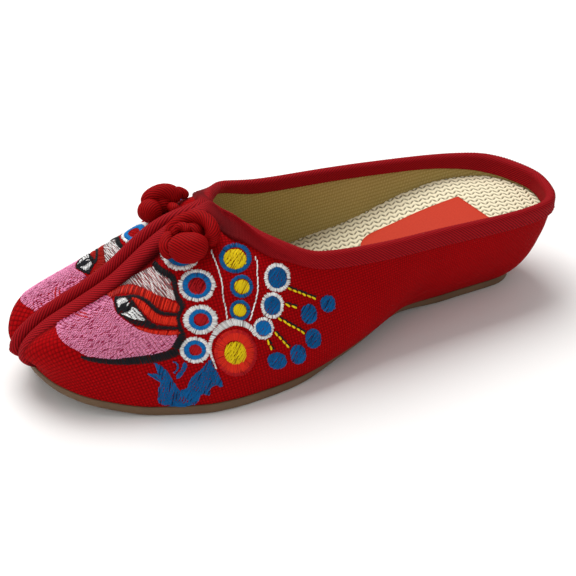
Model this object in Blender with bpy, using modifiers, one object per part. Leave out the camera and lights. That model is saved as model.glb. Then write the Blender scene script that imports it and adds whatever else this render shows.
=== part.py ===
"""Embroidered cloth mule, left foot: outsole, wedge insole, hollow upper, collar binding,
two ridge bindings down the front seam and two cord button knots.

Sizes in the tables are millimetres. Stations run from the heel (0) to the toe, half-widths go to
each side of the shoe's centre line, heights go up from the floor.
"""

import math
from collections import namedtuple

import bmesh
import bpy
import numpy as np
from mathutils import Matrix, Vector
from mathutils.bvhtree import BVHTree
from mathutils.kdtree import KDTree

MM = 0.001

# Driving dimensions
WALL = 1.8
GAP = 0.3
TAPE = 0.9
BINDING_OUTSIDE = 4.6
BINDING_INSIDE = 5.4
COLLAR_END = 8.55
RIDGE_WIDTH = 5.0
RIDGE_HEIGHTS = {1: 5.5, -1: 6.9}
RIDGE_SEAT = 0.75
RIDGE_STAND = 2.2
RIDGE_OVERHANG = 1.5
RIDGE_END_ABOVE_SOLE = 2.5
SOLE_ROUND = 1.2
INSOLE_LEVELS = 5
KNOT_RING = 7.6
KNOT_CORD = 2.9
KNOT_CORE = 6.2
KNOT_CORE_HEIGHT = 5.0
KNOT_ROW = 9.42
KNOT_FROM_RIDGE = 16.4
KNOT_LIFT = 0.6
SWAY_LEVEL = 45.0

# Colours, linear
CANVAS = (0.25, 0.006, 0.010)
TWILL = (0.30, 0.008, 0.012)
RUBBER = (0.19, 0.127, 0.06)
STRAW = (0.85, 0.79, 0.58)

# The upper's wall, one row for each section from heel to toe. A section is a curve from its base
# on the sole to its top on the collar or the ridge. Leans are degrees above (low) or below (top)
# the outward horizontal, and pulls are how far the curve follows them.
Section = namedtuple("Section", "base_s base_w top_s top_w top_z low_lean low_pull top_lean top_pull")
SECTIONS = [
    Section(10.5, 0.0, -3.5, 0.0, 41.8, 33, 14.5, 91, 9),
    Section(13.5, 8.6, 0.0, 15.5, 41.9, 33, 14.5, 91, 9),
    Section(22.5, 14.4, 9.0, 27.0, 42.3, 34, 14.5, 90, 9),
    Section(46.0, 16.6, 30.0, 32.8, 43.3, 36, 15.5, 88, 10),
    Section(70.0, 19.2, 61.0, 35.3, 44.8, 36, 17.5, 86, 11),
    Section(96.0, 29.6, 90.0, 36.8, 46.3, 35, 19.5, 84, 12),
    Section(120.0, 37.5, 116.0, 35.8, 48.8, 41, 20.5, 80, 16),
    Section(142.0, 41.2, 133.0, 26.7, 56.0, 60, 18, 45, 20),
    Section(157.0, 42.2, 144.0, 8.8, 61.0, 72, 19, 10, 28),
    Section(166.0, 41.8, 150.0, 0.0, 61.0, 78, 20, -2, 32),
    Section(182.0, 38.8, 168.0, 0.0, 51.4, 84, 20, -4, 32),
    Section(196.5, 35.2, 188.0, 0.0, 36.6, 88, 18, -15, 33),
    Section(208.0, 29.8, 205.0, 0.0, 28.0, 92, 15, -17, 33),
    Section(215.3, 22.8, 213.5, 0.0, 24.0, 94, 11, -11, 27),
    Section(220.2, 13.2, 218.0, 0.0, 20.9, 95, 7, 7, 19),
    Section(222.2, 0.0, 220.0, 0.0, 19.4, 95, 4, 33, 4),
]
THROAT_ROW = 9
STEPS_PER_ROW = 3
STRIP_LINES = (0.0, BINDING_OUTSIDE, BINDING_INSIDE)
WALL_LINES = 9
FULL_STRIP_WALL = 26.0

# The rounded top of a ridge binding, as shares of its width and height.
CrownRow = namedtuple("CrownRow", "across height")
RIDGE_CROWN = [
    CrownRow(1.0, 0.62), CrownRow(0.8, 0.9), CrownRow(0.5, 1.0), CrownRow(0.17, 0.92), CrownRow(0.0, 0.7),
]

# The sole's underside height and thickness along its length, how far its edge stands out past the
# canvas, and how far its rounded lower edge is drawn in.
SoleRow = namedtuple("SoleRow", "station under thick lip taper")
SOLE_ROWS = [
    SoleRow(0, 0.0, 3.9, 0.0, 3.2),
    SoleRow(50, 0.0, 3.9, 0.0, 3.2),
    SoleRow(84, 3.2, 2.2, -0.8, 2.0),
    SoleRow(108, 2.3, 2.2, -0.8, 2.0),
    SoleRow(132, 0.0, 3.4, 0.0, 1.6),
    SoleRow(188, 0.0, 3.9, 0.3, 1.6),
    SoleRow(208, 3.0, 3.7, 0.3, 1.6),
    SoleRow(240, 11.0, 3.4, 0.3, 1.6),
]

# The foot bed's height above the floor.
InsoleRow = namedtuple("InsoleRow", "station height")
INSOLE_ROWS = [
    InsoleRow(-10, 35.0), InsoleRow(22, 34.2), InsoleRow(44, 30.5), InsoleRow(62, 25.5), InsoleRow(82, 20.0),
    InsoleRow(112, 13.5), InsoleRow(145, 9.5), InsoleRow(190, 8.0), InsoleRow(245, 16.0),
]

# The centre line's sideways curve, how far the right side runs ahead of the left at the toe, and how
# far the sole sways out to the left, which dies away up to SWAY_LEVEL.
CentreRow = namedtuple("CentreRow", "station offset skew sway")
CENTRE_ROWS = [
    CentreRow(-10, 0.0, 0.0, 0.0), CentreRow(60, -1.1, 0.0, 0.3), CentreRow(110, 0.8, 0.0, 4.2),
    CentreRow(165, 2.7, 0.06, 3.2), CentreRow(210, 0.3, 0.13, 0.0), CentreRow(245, 1.0, 0.22, 0.0),
]


def smooth(knots, values, at):
    """Monotone cubic through a table's column: it never overshoots a row."""
    knots, values, at = (np.asarray(a, float) for a in (knots, values, at))
    step = np.diff(knots)
    slope = np.diff(values) / step
    tangent = np.zeros(len(knots))
    for i in range(1, len(knots) - 1):
        if slope[i - 1] * slope[i] > 0:
            a = 2 * step[i] + step[i - 1]
            b = step[i] + 2 * step[i - 1]
            tangent[i] = (a + b) / (a / slope[i - 1] + b / slope[i])
    tangent[0], tangent[-1] = slope[0], slope[-1]
    k = np.clip(np.searchsorted(knots, at, side="right") - 1, 0, len(step) - 1)
    t = (at - knots[k]) / step[k]
    return ((1 + 2 * t) * (1 - t) ** 2 * values[k] + t * (1 - t) ** 2 * step[k] * tangent[k]
            + t * t * (3 - 2 * t) * values[k + 1] + t * t * (t - 1) * step[k] * tangent[k + 1])


def along(rows, column, station):
    """A column of a station table, read smoothly at a station."""
    return smooth([row.station for row in rows], [getattr(row, column) for row in rows], station)


def section_column(column, u):
    """A column of SECTIONS at row number u. Heel and toe end rows are mirrored, so that both walls
    meet smoothly, and the top edge turns a corner at the throat, where collar becomes ridge."""
    sign = -1.0 if column in ("base_w", "top_w") else 1.0
    first, last = 0, len(SECTIONS) - 1
    if column in ("top_s", "top_w", "top_z"):
        first, last = (first, THROAT_ROW) if u <= THROAT_ROW else (THROAT_ROW, last)
    rows = list(range(first, last + 1))
    values = [getattr(SECTIONS[row], column) for row in rows]
    if first == 0:
        rows, values = [-1] + rows, [sign * values[1]] + values
    if last == len(SECTIONS) - 1:
        rows, values = rows + [last + 1], values + [sign * values[-2]]
    return float(smooth(rows, values, u))


def sole_top(station):
    return along(SOLE_ROWS, "under", station) + along(SOLE_ROWS, "thick", station)


def place(side, station, width, height):
    """A point in the shoe's frame: side is +1 for the left wall and -1 for the right."""
    offset, skew, sway = (along(CENTRE_ROWS, column, station) for column in ("offset", "skew", "sway"))
    offset += sway * max(1 - height / SWAY_LEVEL, 0.0) ** 2
    return np.array([station - skew * side * width, offset + side * width, height])


def outward(u):
    """The base outline's outward direction in plan, as (station, width)."""
    small = 0.02
    d_s = section_column("base_s", u + small) - section_column("base_s", u - small)
    d_w = section_column("base_w", u + small) - section_column("base_w", u - small)
    return np.array([-d_w, d_s]) / math.hypot(d_s, d_w)


def wall_curve(side, u, samples=49):
    """Points of one section of the upper's outer face, from collar or ridge down to the sole."""
    c = {name: float(section_column(name, u)) for name in Section._fields}
    out = outward(u)
    base_z = float(sole_top(c["base_s"])) + GAP
    low, top = math.radians(c["low_lean"]), math.radians(c["top_lean"])
    base = np.array([c["base_s"], c["base_w"], base_z])
    crown = np.array([c["top_s"], c["top_w"], c["top_z"]])
    low_handle = base + c["low_pull"] * np.array([*(out * math.cos(low)), math.sin(low)])
    top_handle = crown + c["top_pull"] * np.array([*(out * math.cos(top)), -math.sin(top)])
    t = np.linspace(0, 1, samples)[:, None]
    curve = ((1 - t) ** 3 * crown + 3 * t * (1 - t) ** 2 * top_handle
             + 3 * t * t * (1 - t) * low_handle + t ** 3 * base)
    return np.array([place(side, *point) for point in curve])


def wall_lines(side, u):
    """The section's grid points: lines a set distance below the top for the bindings, then even ones."""
    curve = wall_curve(side, u)
    run = np.concatenate([[0], np.cumsum(np.linalg.norm(np.diff(curve, axis=0), axis=1))])
    shrink = min(1.0, run[-1] / FULL_STRIP_WALL)
    strip = np.array(STRIP_LINES) * shrink
    rest = np.linspace(strip[-1], run[-1], WALL_LINES + 1)[1:]
    at = np.concatenate([strip, rest])
    return np.stack([np.interp(at, run, curve[:, k]) for k in range(3)], axis=1)


# Blender objects
SIDES = (1, -1)
COLUMNS = STEPS_PER_ROW * (len(SECTIONS) - 1) + 1
THROAT_COLUMN = STEPS_PER_ROW * THROAT_ROW
LINES = len(STRIP_LINES) + WALL_LINES
INSIDE_LINE = STRIP_LINES.index(BINDING_INSIDE)
OUTSIDE_LINE = STRIP_LINES.index(BINDING_OUTSIDE)
WELD = 0.00001
WALLS = {side: np.array([wall_lines(side, i / STEPS_PER_ROW) for i in range(COLUMNS)]) for side in SIDES}


def clear_scene():
    for old in list(bpy.data.objects):
        bpy.data.objects.remove(old, do_unlink=True)


def new_collection(name):
    collection = bpy.data.collections.new(name)
    bpy.context.scene.collection.children.link(collection)
    return collection


def material(name, colour, roughness):
    """A Principled material from a linear colour."""
    made = bpy.data.materials.new(name)
    made.use_nodes = True
    shader = made.node_tree.nodes["Principled BSDF"]
    shader.inputs["Base Color"].default_value = (*colour, 1.0)
    shader.inputs["Roughness"].default_value = roughness
    shader.inputs["Metallic"].default_value = 0.0
    return made


def add_piece(name, bm, colour, roughness):
    """A bmesh as a named object of the shoe."""
    mesh = bpy.data.meshes.new(name)
    bm.to_mesh(mesh)
    bm.free()
    mesh.materials.append(material(name, colour, roughness))
    piece = bpy.data.objects.new(name, mesh)
    shoe.objects.link(piece)
    return piece


def shaped_grid(bm, columns, lines, where):
    """A grid whose vertices are put at where(column, line), in millimetres."""
    grid = bmesh.ops.create_grid(bm, x_segments=columns - 1, y_segments=lines - 1, size=0.5)
    for vertex in grid["verts"]:
        i = round((vertex.co.x + 0.5) * (columns - 1))
        k = round((vertex.co.y + 0.5) * (lines - 1))
        vertex.co = Vector(where(i, k)) * MM


def loft(profiles):
    """A closed body through a list of profiles, each a closed ring with as many points."""
    count = len(profiles[0])
    bm = bmesh.new()
    shaped_grid(bm, len(profiles), count + 1, lambda i, k: profiles[i][k % count])
    bmesh.ops.remove_doubles(bm, verts=bm.verts, dist=WELD)
    bmesh.ops.dissolve_degenerate(bm, edges=bm.edges, dist=WELD)
    bmesh.ops.holes_fill(bm, edges=[edge for edge in bm.edges if edge.is_boundary], sides=0)
    bmesh.ops.triangulate(bm, faces=bm.faces, quad_method="SHORT_EDGE")
    bmesh.ops.recalc_face_normals(bm, faces=bm.faces)
    return bm


def upper_skin():
    """The upper's outer face: the left and right walls, welded at heel, ridge and toe."""
    bm = bmesh.new()
    for side in SIDES:
        shaped_grid(bm, COLUMNS, LINES, lambda i, k: WALLS[side][i][k])
    bmesh.ops.remove_doubles(bm, verts=bm.verts, dist=WELD)
    bmesh.ops.triangulate(bm, faces=bm.faces, quad_method="SHORT_EDGE")
    bmesh.ops.recalc_face_normals(bm, faces=bm.faces)
    foremost = max(bm.faces, key=lambda face: face.calc_center_median().x)
    if foremost.normal.x < 0:
        bmesh.ops.reverse_faces(bm, faces=bm.faces)
    bm.normal_update()
    return bm


def skin_normals(bm):
    """The skin's outward normals on the same columns and lines as WALLS."""
    tree = KDTree(len(bm.verts))
    bm.verts.ensure_lookup_table()
    for vertex in bm.verts:
        tree.insert(vertex.co, vertex.index)
    tree.balance()

    def normal(point):
        return np.array(bm.verts[tree.find(Vector(point) * MM)[1]].normal)

    return {side: np.array([[normal(point) for point in column] for column in WALLS[side]])
            for side in SIDES}


def wall_at(side, u):
    """Points and normals of the skin down the section at row number u."""
    i = min(int(u * STEPS_PER_ROW), COLUMNS - 2)
    t = u * STEPS_PER_ROW - i
    points = (1 - t) * WALLS[side][i] + t * WALLS[side][i + 1]
    normals = (1 - t) * NORMALS[side][i] + t * NORMALS[side][i + 1]
    return points, normals / np.linalg.norm(normals, axis=1, keepdims=True)


def unit(vector):
    return vector / np.linalg.norm(vector)


def collar_profile(side, u):
    """The folded tape's section: down the outside, round the edge and up the inside, then back."""
    points, normals = wall_at(side, u)
    up = unit(points[0] - points[INSIDE_LINE])
    middle = points[0] - normals[0] * WALL / 2
    faces = []
    for away in (GAP, GAP + TAPE):
        arc = [middle + (WALL / 2 + away) * (math.cos(a) * normals[0] + math.sin(a) * up)
               for a in np.radians((0, 45, 90, 135, 180))]
        outside = [points[k] + away * normals[k] for k in range(OUTSIDE_LINE, 0, -1)]
        inside = [points[k] - (WALL + away) * normals[k] for k in range(1, INSIDE_LINE + 1)]
        faces.append(outside + arc + inside)
    return faces[0] + faces[1][::-1]


def ridge_path():
    """Points and normals on the skin's centre line, from the throat down to the toe's front."""
    ridge = range(THROAT_COLUMN, COLUMNS)
    points = [WALLS[1][i][0] for i in ridge]
    normals = [NORMALS[1][i][0] for i in ridge]
    floor = WALLS[1][-1][-1][2] + RIDGE_END_ABOVE_SOLE
    for point, normal in zip(WALLS[1][-1][1:], NORMALS[1][-1][1:]):
        if point[2] > floor:
            points.append(point)
            normals.append(normal)
    start = points[0] - RIDGE_OVERHANG * unit(points[1] - points[0])
    return [start] + points, [normals[0]] + normals


def ridge_profiles(side, skin):
    """Sections of one taped edge that stands on the skin beside the centre line."""
    half_gap, tall = GAP / 2, RIDGE_HEIGHTS[side]
    sideways = np.array([0.0, side, 0.0])
    points, normals = ridge_path()
    profiles = []
    for i, (point, normal) in enumerate(zip(points, normals)):
        on_skin = points[max(i, 1)]
        feet = []
        for away in (half_gap, half_gap + RIDGE_WIDTH / 2, half_gap + RIDGE_WIDTH):
            above = on_skin + sideways * away + normal * tall
            depth = skin.ray_cast(Vector(above) * MM, -Vector(normal))[3] / MM
            feet.append((away, tall - depth + RIDGE_SEAT))
        crown = []
        for spot in RIDGE_CROWN:
            away = half_gap + spot.across * RIDGE_WIDTH
            foot = float(np.interp(away, *zip(*feet)))
            crown.append((away, max(spot.height * tall, foot + spot.height * RIDGE_STAND)))
        profiles.append([point + sideways * away + normal * height for away, height in feet + crown])
    return profiles


def insole_side(side, i):
    """Points up the foot bed's side, inside the wall, from the sole's top to the foot bed."""
    inner = (WALLS[side][i] - (WALL + GAP) * NORMALS[side][i])[::-1]
    floor = WALLS[side][i][-1][2]
    first = inner[0] - (inner[0][2] - floor) * (inner[1] - inner[0]) / (inner[1][2] - inner[0][2])
    line = np.vstack([first, inner])
    over = line[:, 2] - along(INSOLE_ROWS, "height", line[:, 0])
    k = int(np.argmax(over > 0))
    last = line[k - 1] + (line[k] - line[k - 1]) * over[k - 1] / (over[k - 1] - over[k])
    line = np.vstack([line[:k], last])
    run = np.concatenate([[0], np.cumsum(np.linalg.norm(np.diff(line, axis=0), axis=1))])
    at = np.linspace(0, run[-1], INSOLE_LEVELS)
    return [np.array([np.interp(a, run, line[:, c]) for c in range(3)]) for a in at]


def across(left, right, count):
    """Points strictly between two points."""
    return [left + (right - left) * (k + 1) / (count + 1) for k in range(count)]


def insole_profile(i):
    left, right = (insole_side(side, i) for side in SIDES)
    top = across(left[-1], right[-1], 3)
    for point in top:
        point[2] = along(INSOLE_ROWS, "height", point[0])
    return left + top + right[::-1] + across(right[0], left[0], 1)


def sole_edge(side, u):
    """The sole's edge at one section: top, side, rounding and underside."""
    out = outward(u)
    station, width = section_column("base_s", u), section_column("base_w", u)
    under, out_by, taper = (along(SOLE_ROWS, column, station) for column in ("under", "lip", "taper"))
    edge = [(out_by, sole_top(station)), (out_by, under + SOLE_ROUND),
            (out_by - taper / 3, under + SOLE_ROUND / 4), (out_by - taper, under)]
    on_axis = u in (0, len(SECTIONS) - 1)
    return [place(side, station + lip * out[0], 0.0 if on_axis else max(width + lip * out[1], 0.0), height)
            for lip, height in edge]


def sole_profile(i):
    left, right = (sole_edge(side, i / STEPS_PER_ROW) for side in SIDES)
    return left + across(left[-1], right[-1], 2) + right[::-1] + across(right[0], left[0], 2)


def add_knot(name, side, skin, colour):
    """A cord ring round a cord ball, set on the skin beside the throat."""
    points, _ = wall_at(side, KNOT_ROW)
    run = np.concatenate([[0], np.cumsum(np.linalg.norm(np.diff(points, axis=0), axis=1))])
    point = np.array([np.interp(KNOT_FROM_RIDGE, run, points[:, c]) for c in range(3)])
    spot, normal, _, _ = skin.find_nearest(Vector(point) * MM)
    turn = Vector((0, 0, 1)).rotation_difference(normal).to_matrix().to_4x4()
    bpy.ops.mesh.primitive_torus_add(major_radius=KNOT_RING * MM, minor_radius=KNOT_CORD * MM,
                                     major_segments=20, minor_segments=9)
    knot = bpy.context.object
    knot.name = name
    knot.matrix_world = Matrix.Translation(spot + normal * (KNOT_CORD + KNOT_LIFT) * MM) @ turn
    bpy.ops.mesh.primitive_uv_sphere_add(segments=16, ring_count=9, radius=KNOT_CORE * MM)
    core = bpy.context.object
    core.name = name + "_core"
    core.matrix_world = (Matrix.Translation(spot + normal * (KNOT_CORE_HEIGHT + KNOT_LIFT) * MM) @ turn
                         @ Matrix.Diagonal((1, 1, KNOT_CORE_HEIGHT / KNOT_CORE, 1)))
    for piece, home in ((knot, shoe), (core, cutters)):
        for holder in list(piece.users_collection):
            holder.objects.unlink(piece)
        home.objects.link(piece)
    core.hide_render = True
    core.display_type = "WIRE"
    knot.data.materials.append(material(name, colour, 0.75))
    joined = knot.modifiers.new("core", "BOOLEAN")
    joined.operation = "UNION"
    joined.solver = "EXACT"
    joined.object = core
    return knot


def stand_on_origin(pieces):
    """Hang the shoe on an empty that puts the middle of its box's bottom at the origin."""
    bpy.context.view_layer.update()
    graph = bpy.context.evaluated_depsgraph_get()
    corners = [piece.matrix_world @ vertex.co
               for piece in pieces for vertex in piece.evaluated_get(graph).to_mesh().vertices]
    low, high = (np.array([pick(corner[c] for corner in corners) for c in range(3)]) for pick in (min, max))
    holder = bpy.data.objects.new("shoe_frame", None)
    shoe.objects.link(holder)
    for piece in list(pieces) + list(cutters.objects):
        piece.parent = holder
    holder.location = (-(low[0] + high[0]) / 2, -(low[1] + high[1]) / 2, -low[2])


clear_scene()
shoe = new_collection("embroidered_mule")
cutters = new_collection("cutters")

skin_mesh = upper_skin()
NORMALS = skin_normals(skin_mesh)
skin_tree = BVHTree.FromBMesh(skin_mesh)

pieces = [add_piece("outsole", loft([sole_profile(i) for i in range(COLUMNS)]), RUBBER, 0.8),
          add_piece("insole", loft([insole_profile(i) for i in range(COLUMNS)]), STRAW, 0.9)]

upper = add_piece("upper", skin_mesh, CANVAS, 0.85)
wall = upper.modifiers.new("wall", "SOLIDIFY")
wall.thickness = WALL * MM
wall.offset = -1.0
pieces.append(upper)

collar_rows = [COLLAR_END] + [i / STEPS_PER_ROW for i in range(int(COLLAR_END * STEPS_PER_ROW), -1, -1)]
collar = ([collar_profile(-1, u) for u in collar_rows] + [collar_profile(1, u) for u in collar_rows[-2::-1]])
pieces.append(add_piece("collar_binding", loft(collar), TWILL, 0.7))

for side, word in ((1, "left"), (-1, "right")):
    pieces.append(add_piece("ridge_binding_" + word, loft(ridge_profiles(side, skin_tree)), TWILL, 0.7))
    pieces.append(add_knot("knot_" + word, side, skin_tree, TWILL))

stand_on_origin(pieces)
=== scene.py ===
# %% [markdown]
# A cloth mule with an embroidered front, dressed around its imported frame.
# The frame gives every node its true size and place. This lesson covers it with what the eye
# looks for in the real shoe: woven canvas, ribbed tape, wrapped cord and thousands of stitches.

# %% Load the frame
import math
from collections import namedtuple

import bpy
import numpy as np
from mathutils import Matrix, Vector
from mathutils.bvhtree import BVHTree


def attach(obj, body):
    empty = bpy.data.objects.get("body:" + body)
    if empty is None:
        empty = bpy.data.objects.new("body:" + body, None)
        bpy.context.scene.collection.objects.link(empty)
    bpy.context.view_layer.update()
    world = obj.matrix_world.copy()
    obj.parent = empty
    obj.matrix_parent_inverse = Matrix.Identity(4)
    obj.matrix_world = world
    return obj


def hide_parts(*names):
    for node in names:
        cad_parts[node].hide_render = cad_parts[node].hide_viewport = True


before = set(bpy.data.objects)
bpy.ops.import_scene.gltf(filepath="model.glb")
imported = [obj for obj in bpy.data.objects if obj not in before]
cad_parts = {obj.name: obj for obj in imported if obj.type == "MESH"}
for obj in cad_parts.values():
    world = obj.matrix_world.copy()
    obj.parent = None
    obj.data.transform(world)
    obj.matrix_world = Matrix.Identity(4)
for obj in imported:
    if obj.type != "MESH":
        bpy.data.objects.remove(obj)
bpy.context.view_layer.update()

MM = 0.001
SIDES = {"left": 1, "right": -1}
print("frame nodes:", sorted(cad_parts))

# %% [markdown]
# The upper is cut from flat cloth, but it takes the last's shape, so the whole scene hangs on that
# one surface. It could be read back from the frame's mesh, whose facets are too coarse for stitches
# of half a millimetre. The frame's own section tables are repeated here and read more finely instead.
# Stations run from the heel to the toe, in millimetres.

# %% Section tables of the last
Section = namedtuple("Section", "base_s base_w top_s top_w top_z low_lean low_pull top_lean top_pull")
SECTIONS = [
    Section(10.5, 0.0, -3.5, 0.0, 41.8, 33, 14.5, 91, 9),
    Section(13.5, 8.6, 0.0, 15.5, 41.9, 33, 14.5, 91, 9),
    Section(22.5, 14.4, 9.0, 27.0, 42.3, 34, 14.5, 90, 9),
    Section(46.0, 16.6, 30.0, 32.8, 43.3, 36, 15.5, 88, 10),
    Section(70.0, 19.2, 61.0, 35.3, 44.8, 36, 17.5, 86, 11),
    Section(96.0, 29.6, 90.0, 36.8, 46.3, 35, 19.5, 84, 12),
    Section(120.0, 37.5, 116.0, 35.8, 48.8, 41, 20.5, 80, 16),
    Section(142.0, 41.2, 133.0, 26.7, 56.0, 60, 18, 45, 20),
    Section(157.0, 42.2, 144.0, 8.8, 61.0, 72, 19, 10, 28),
    Section(166.0, 41.8, 150.0, 0.0, 61.0, 78, 20, -2, 32),
    Section(182.0, 38.8, 168.0, 0.0, 51.4, 84, 20, -4, 32),
    Section(196.5, 35.2, 188.0, 0.0, 36.6, 88, 18, -15, 33),
    Section(208.0, 29.8, 205.0, 0.0, 28.0, 92, 15, -17, 33),
    Section(215.3, 22.8, 213.5, 0.0, 24.0, 94, 11, -11, 27),
    Section(220.2, 13.2, 218.0, 0.0, 20.9, 95, 7, 7, 19),
    Section(222.2, 0.0, 220.0, 0.0, 19.4, 95, 4, 33, 4),
]
THROAT_ROW = 9
LAST_ROW = len(SECTIONS) - 1
SoleRow = namedtuple("SoleRow", "station under thick lip taper")
SOLE_ROWS = [
    SoleRow(0, 0.0, 3.9, 0.0, 3.2), SoleRow(50, 0.0, 3.9, 0.0, 3.2), SoleRow(84, 3.2, 2.2, -0.8, 2.0),
    SoleRow(108, 2.3, 2.2, -0.8, 2.0), SoleRow(132, 0.0, 3.4, 0.0, 1.6), SoleRow(188, 0.0, 3.9, 0.3, 1.6),
    SoleRow(208, 3.0, 3.7, 0.3, 1.6), SoleRow(240, 11.0, 3.4, 0.3, 1.6),
]
InsoleRow = namedtuple("InsoleRow", "station height")
INSOLE_ROWS = [
    InsoleRow(-10, 35.0), InsoleRow(22, 34.2), InsoleRow(44, 30.5), InsoleRow(62, 25.5), InsoleRow(82, 20.0),
    InsoleRow(112, 13.5), InsoleRow(145, 9.5), InsoleRow(190, 8.0), InsoleRow(245, 16.0),
]
CentreRow = namedtuple("CentreRow", "station offset skew sway")
CENTRE_ROWS = [
    CentreRow(-10, 0.0, 0.0, 0.0), CentreRow(60, -1.1, 0.0, 0.3), CentreRow(110, 0.8, 0.0, 4.2),
    CentreRow(165, 2.7, 0.06, 3.2), CentreRow(210, 0.3, 0.13, 0.0), CentreRow(245, 1.0, 0.22, 0.0),
]
SWAY_LEVEL = 45.0
WALL = 1.8
GAP = 0.3
TAPE = 0.9


# %% Read the tables smoothly
def smooth(knots, values, at):
    """Monotone cubic through a table's column: it never overshoots a row."""
    knots, values, at = (np.asarray(a, float) for a in (knots, values, at))
    step = np.diff(knots)
    slope = np.diff(values) / step
    tangent = np.zeros(len(knots))
    for i in range(1, len(knots) - 1):
        if slope[i - 1] * slope[i] > 0:
            a = 2 * step[i] + step[i - 1]
            b = step[i] + 2 * step[i - 1]
            tangent[i] = (a + b) / (a / slope[i - 1] + b / slope[i])
    tangent[0], tangent[-1] = slope[0], slope[-1]
    k = np.clip(np.searchsorted(knots, at, side="right") - 1, 0, len(step) - 1)
    t = (at - knots[k]) / step[k]
    return ((1 + 2 * t) * (1 - t) ** 2 * values[k] + t * (1 - t) ** 2 * step[k] * tangent[k]
            + t * t * (3 - 2 * t) * values[k + 1] + t * t * (t - 1) * step[k] * tangent[k + 1])


def smoothstep(low, high, at):
    t = np.clip((at - low) / (high - low), 0, 1)
    return t * t * (3 - 2 * t)


def hill(at, top, spread):
    """1 at the top, falling softly to 0 on both sides."""
    return np.exp(-((at - top) / spread) ** 2)


def along(rows, column, station):
    return smooth([row.station for row in rows], [getattr(row, column) for row in rows], station)


def section_column(column, u):
    """A column of SECTIONS at row number u, mirrored past heel and toe and creased at the throat."""
    sign = -1.0 if column in ("base_w", "top_w") else 1.0
    first, last = 0, LAST_ROW
    if column in ("top_s", "top_w", "top_z"):
        first, last = (first, THROAT_ROW) if u <= THROAT_ROW else (THROAT_ROW, last)
    rows = list(range(first, last + 1))
    values = [getattr(SECTIONS[row], column) for row in rows]
    if first == 0:
        rows, values = [-1] + rows, [sign * values[1]] + values
    if last == LAST_ROW:
        rows, values = rows + [last + 1], values + [sign * values[-2]]
    return float(smooth(rows, values, u))


def sole_top(station):
    return along(SOLE_ROWS, "under", station) + along(SOLE_ROWS, "thick", station)


def place(side, station, width, height):
    """Points in the shoe's frame, in millimetres, from arrays of stations, half-widths and heights."""
    offset, skew, sway = (along(CENTRE_ROWS, column, station) for column in ("offset", "skew", "sway"))
    offset = offset + sway * np.clip(1 - height / SWAY_LEVEL, 0, 1) ** 2
    return np.stack([station - skew * side * width, offset + side * width, height + 0 * station], axis=-1)


def outward(u):
    """The sole outline's outward direction in plan, as (station, width)."""
    small = 0.02
    d_s = section_column("base_s", u + small) - section_column("base_s", u - small)
    d_w = section_column("base_w", u + small) - section_column("base_w", u - small)
    return np.array([-d_w, d_s]) / math.hypot(d_s, d_w)


def run_along(points):
    """The distance run along a polyline, at each of its points."""
    return np.concatenate([[0], np.cumsum(np.linalg.norm(np.diff(points, axis=0), axis=1))])


def run_across(grid):
    """The distance run along each column of a grid, at each of its lines."""
    steps = np.linalg.norm(np.diff(grid, axis=1), axis=2)
    return np.concatenate([np.zeros((len(grid), 1)), np.cumsum(steps, axis=1)], axis=1)


def read_at(at, run, points):
    """A polyline read at given distances along it."""
    return np.stack([np.interp(at, run, points[:, c]) for c in range(points.shape[1])], axis=1)


def evenly(points, count):
    """As many points at even distances along a polyline."""
    run = run_along(points)
    return read_at(np.linspace(0, run[-1], count), run, points)


def smooth_line(points, closed=False, per=8):
    """A smooth line through a few points."""
    p = np.array(points, float)
    if closed:
        spans = zip(np.roll(p, 1, 0), p, np.roll(p, -1, 0), np.roll(p, -2, 0))
    else:
        ends = np.concatenate([[2 * p[0] - p[1]], p, [2 * p[-1] - p[-2]]])
        spans = zip(ends[:-3], ends[1:-2], ends[2:-1], ends[3:])
    t = np.linspace(0, 1, per, endpoint=False)[:, None]
    line = [0.5 * (2 * b + (c - a) * t + (2 * a - 5 * b + 4 * c - d) * t ** 2
                   + (3 * b - a - 3 * c + d) * t ** 3) for a, b, c, d in spans]
    return np.concatenate(line + ([] if closed else [p[-1:]]))


def wall_curve(side, u, samples=97):
    """One section of the upper's outer face, from collar or ridge down to the sole."""
    c = {name: section_column(name, u) for name in Section._fields}
    out = outward(u)
    low, top = math.radians(c["low_lean"]), math.radians(c["top_lean"])
    base = np.array([c["base_s"], c["base_w"], float(sole_top(c["base_s"])) + GAP])
    crown = np.array([c["top_s"], c["top_w"], c["top_z"]])
    low_handle = base + c["low_pull"] * np.array([*(out * math.cos(low)), math.sin(low)])
    top_handle = crown + c["top_pull"] * np.array([*(out * math.cos(top)), -math.sin(top)])
    t = np.linspace(0, 1, samples)[:, None]
    curve = ((1 - t) ** 3 * crown + 3 * t * (1 - t) ** 2 * top_handle
             + 3 * t * t * (1 - t) * low_handle + t ** 3 * base)
    return place(side, *curve.T)


# %% Lay the last's surface out as two fine grids
STEPS_PER_ROW = 12
COLUMNS = STEPS_PER_ROW * LAST_ROW + 1
LINES = 65
THROAT_COLUMN = STEPS_PER_ROW * THROAT_ROW
ROW_NUMBERS = np.arange(COLUMNS) / STEPS_PER_ROW
HEEL_TIP = place(1, *(np.array([v]) for v in (SECTIONS[0].top_s, 0.0, SECTIONS[0].top_z)))[0]
rearmost = min((v.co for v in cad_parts["upper"].data.vertices), key=lambda co: co.x)
TO_FRAME = np.array(rearmost) - HEEL_TIP * MM


def in_frame(points):
    """Millimetres on the tables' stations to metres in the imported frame."""
    return np.asarray(points) * MM + TO_FRAME


def unit(vectors):
    return vectors / np.linalg.norm(vectors, axis=-1, keepdims=True)


def grid_normals(grid, side):
    return unit(side * np.cross(np.gradient(grid, axis=0), np.gradient(grid, axis=1)))


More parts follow.
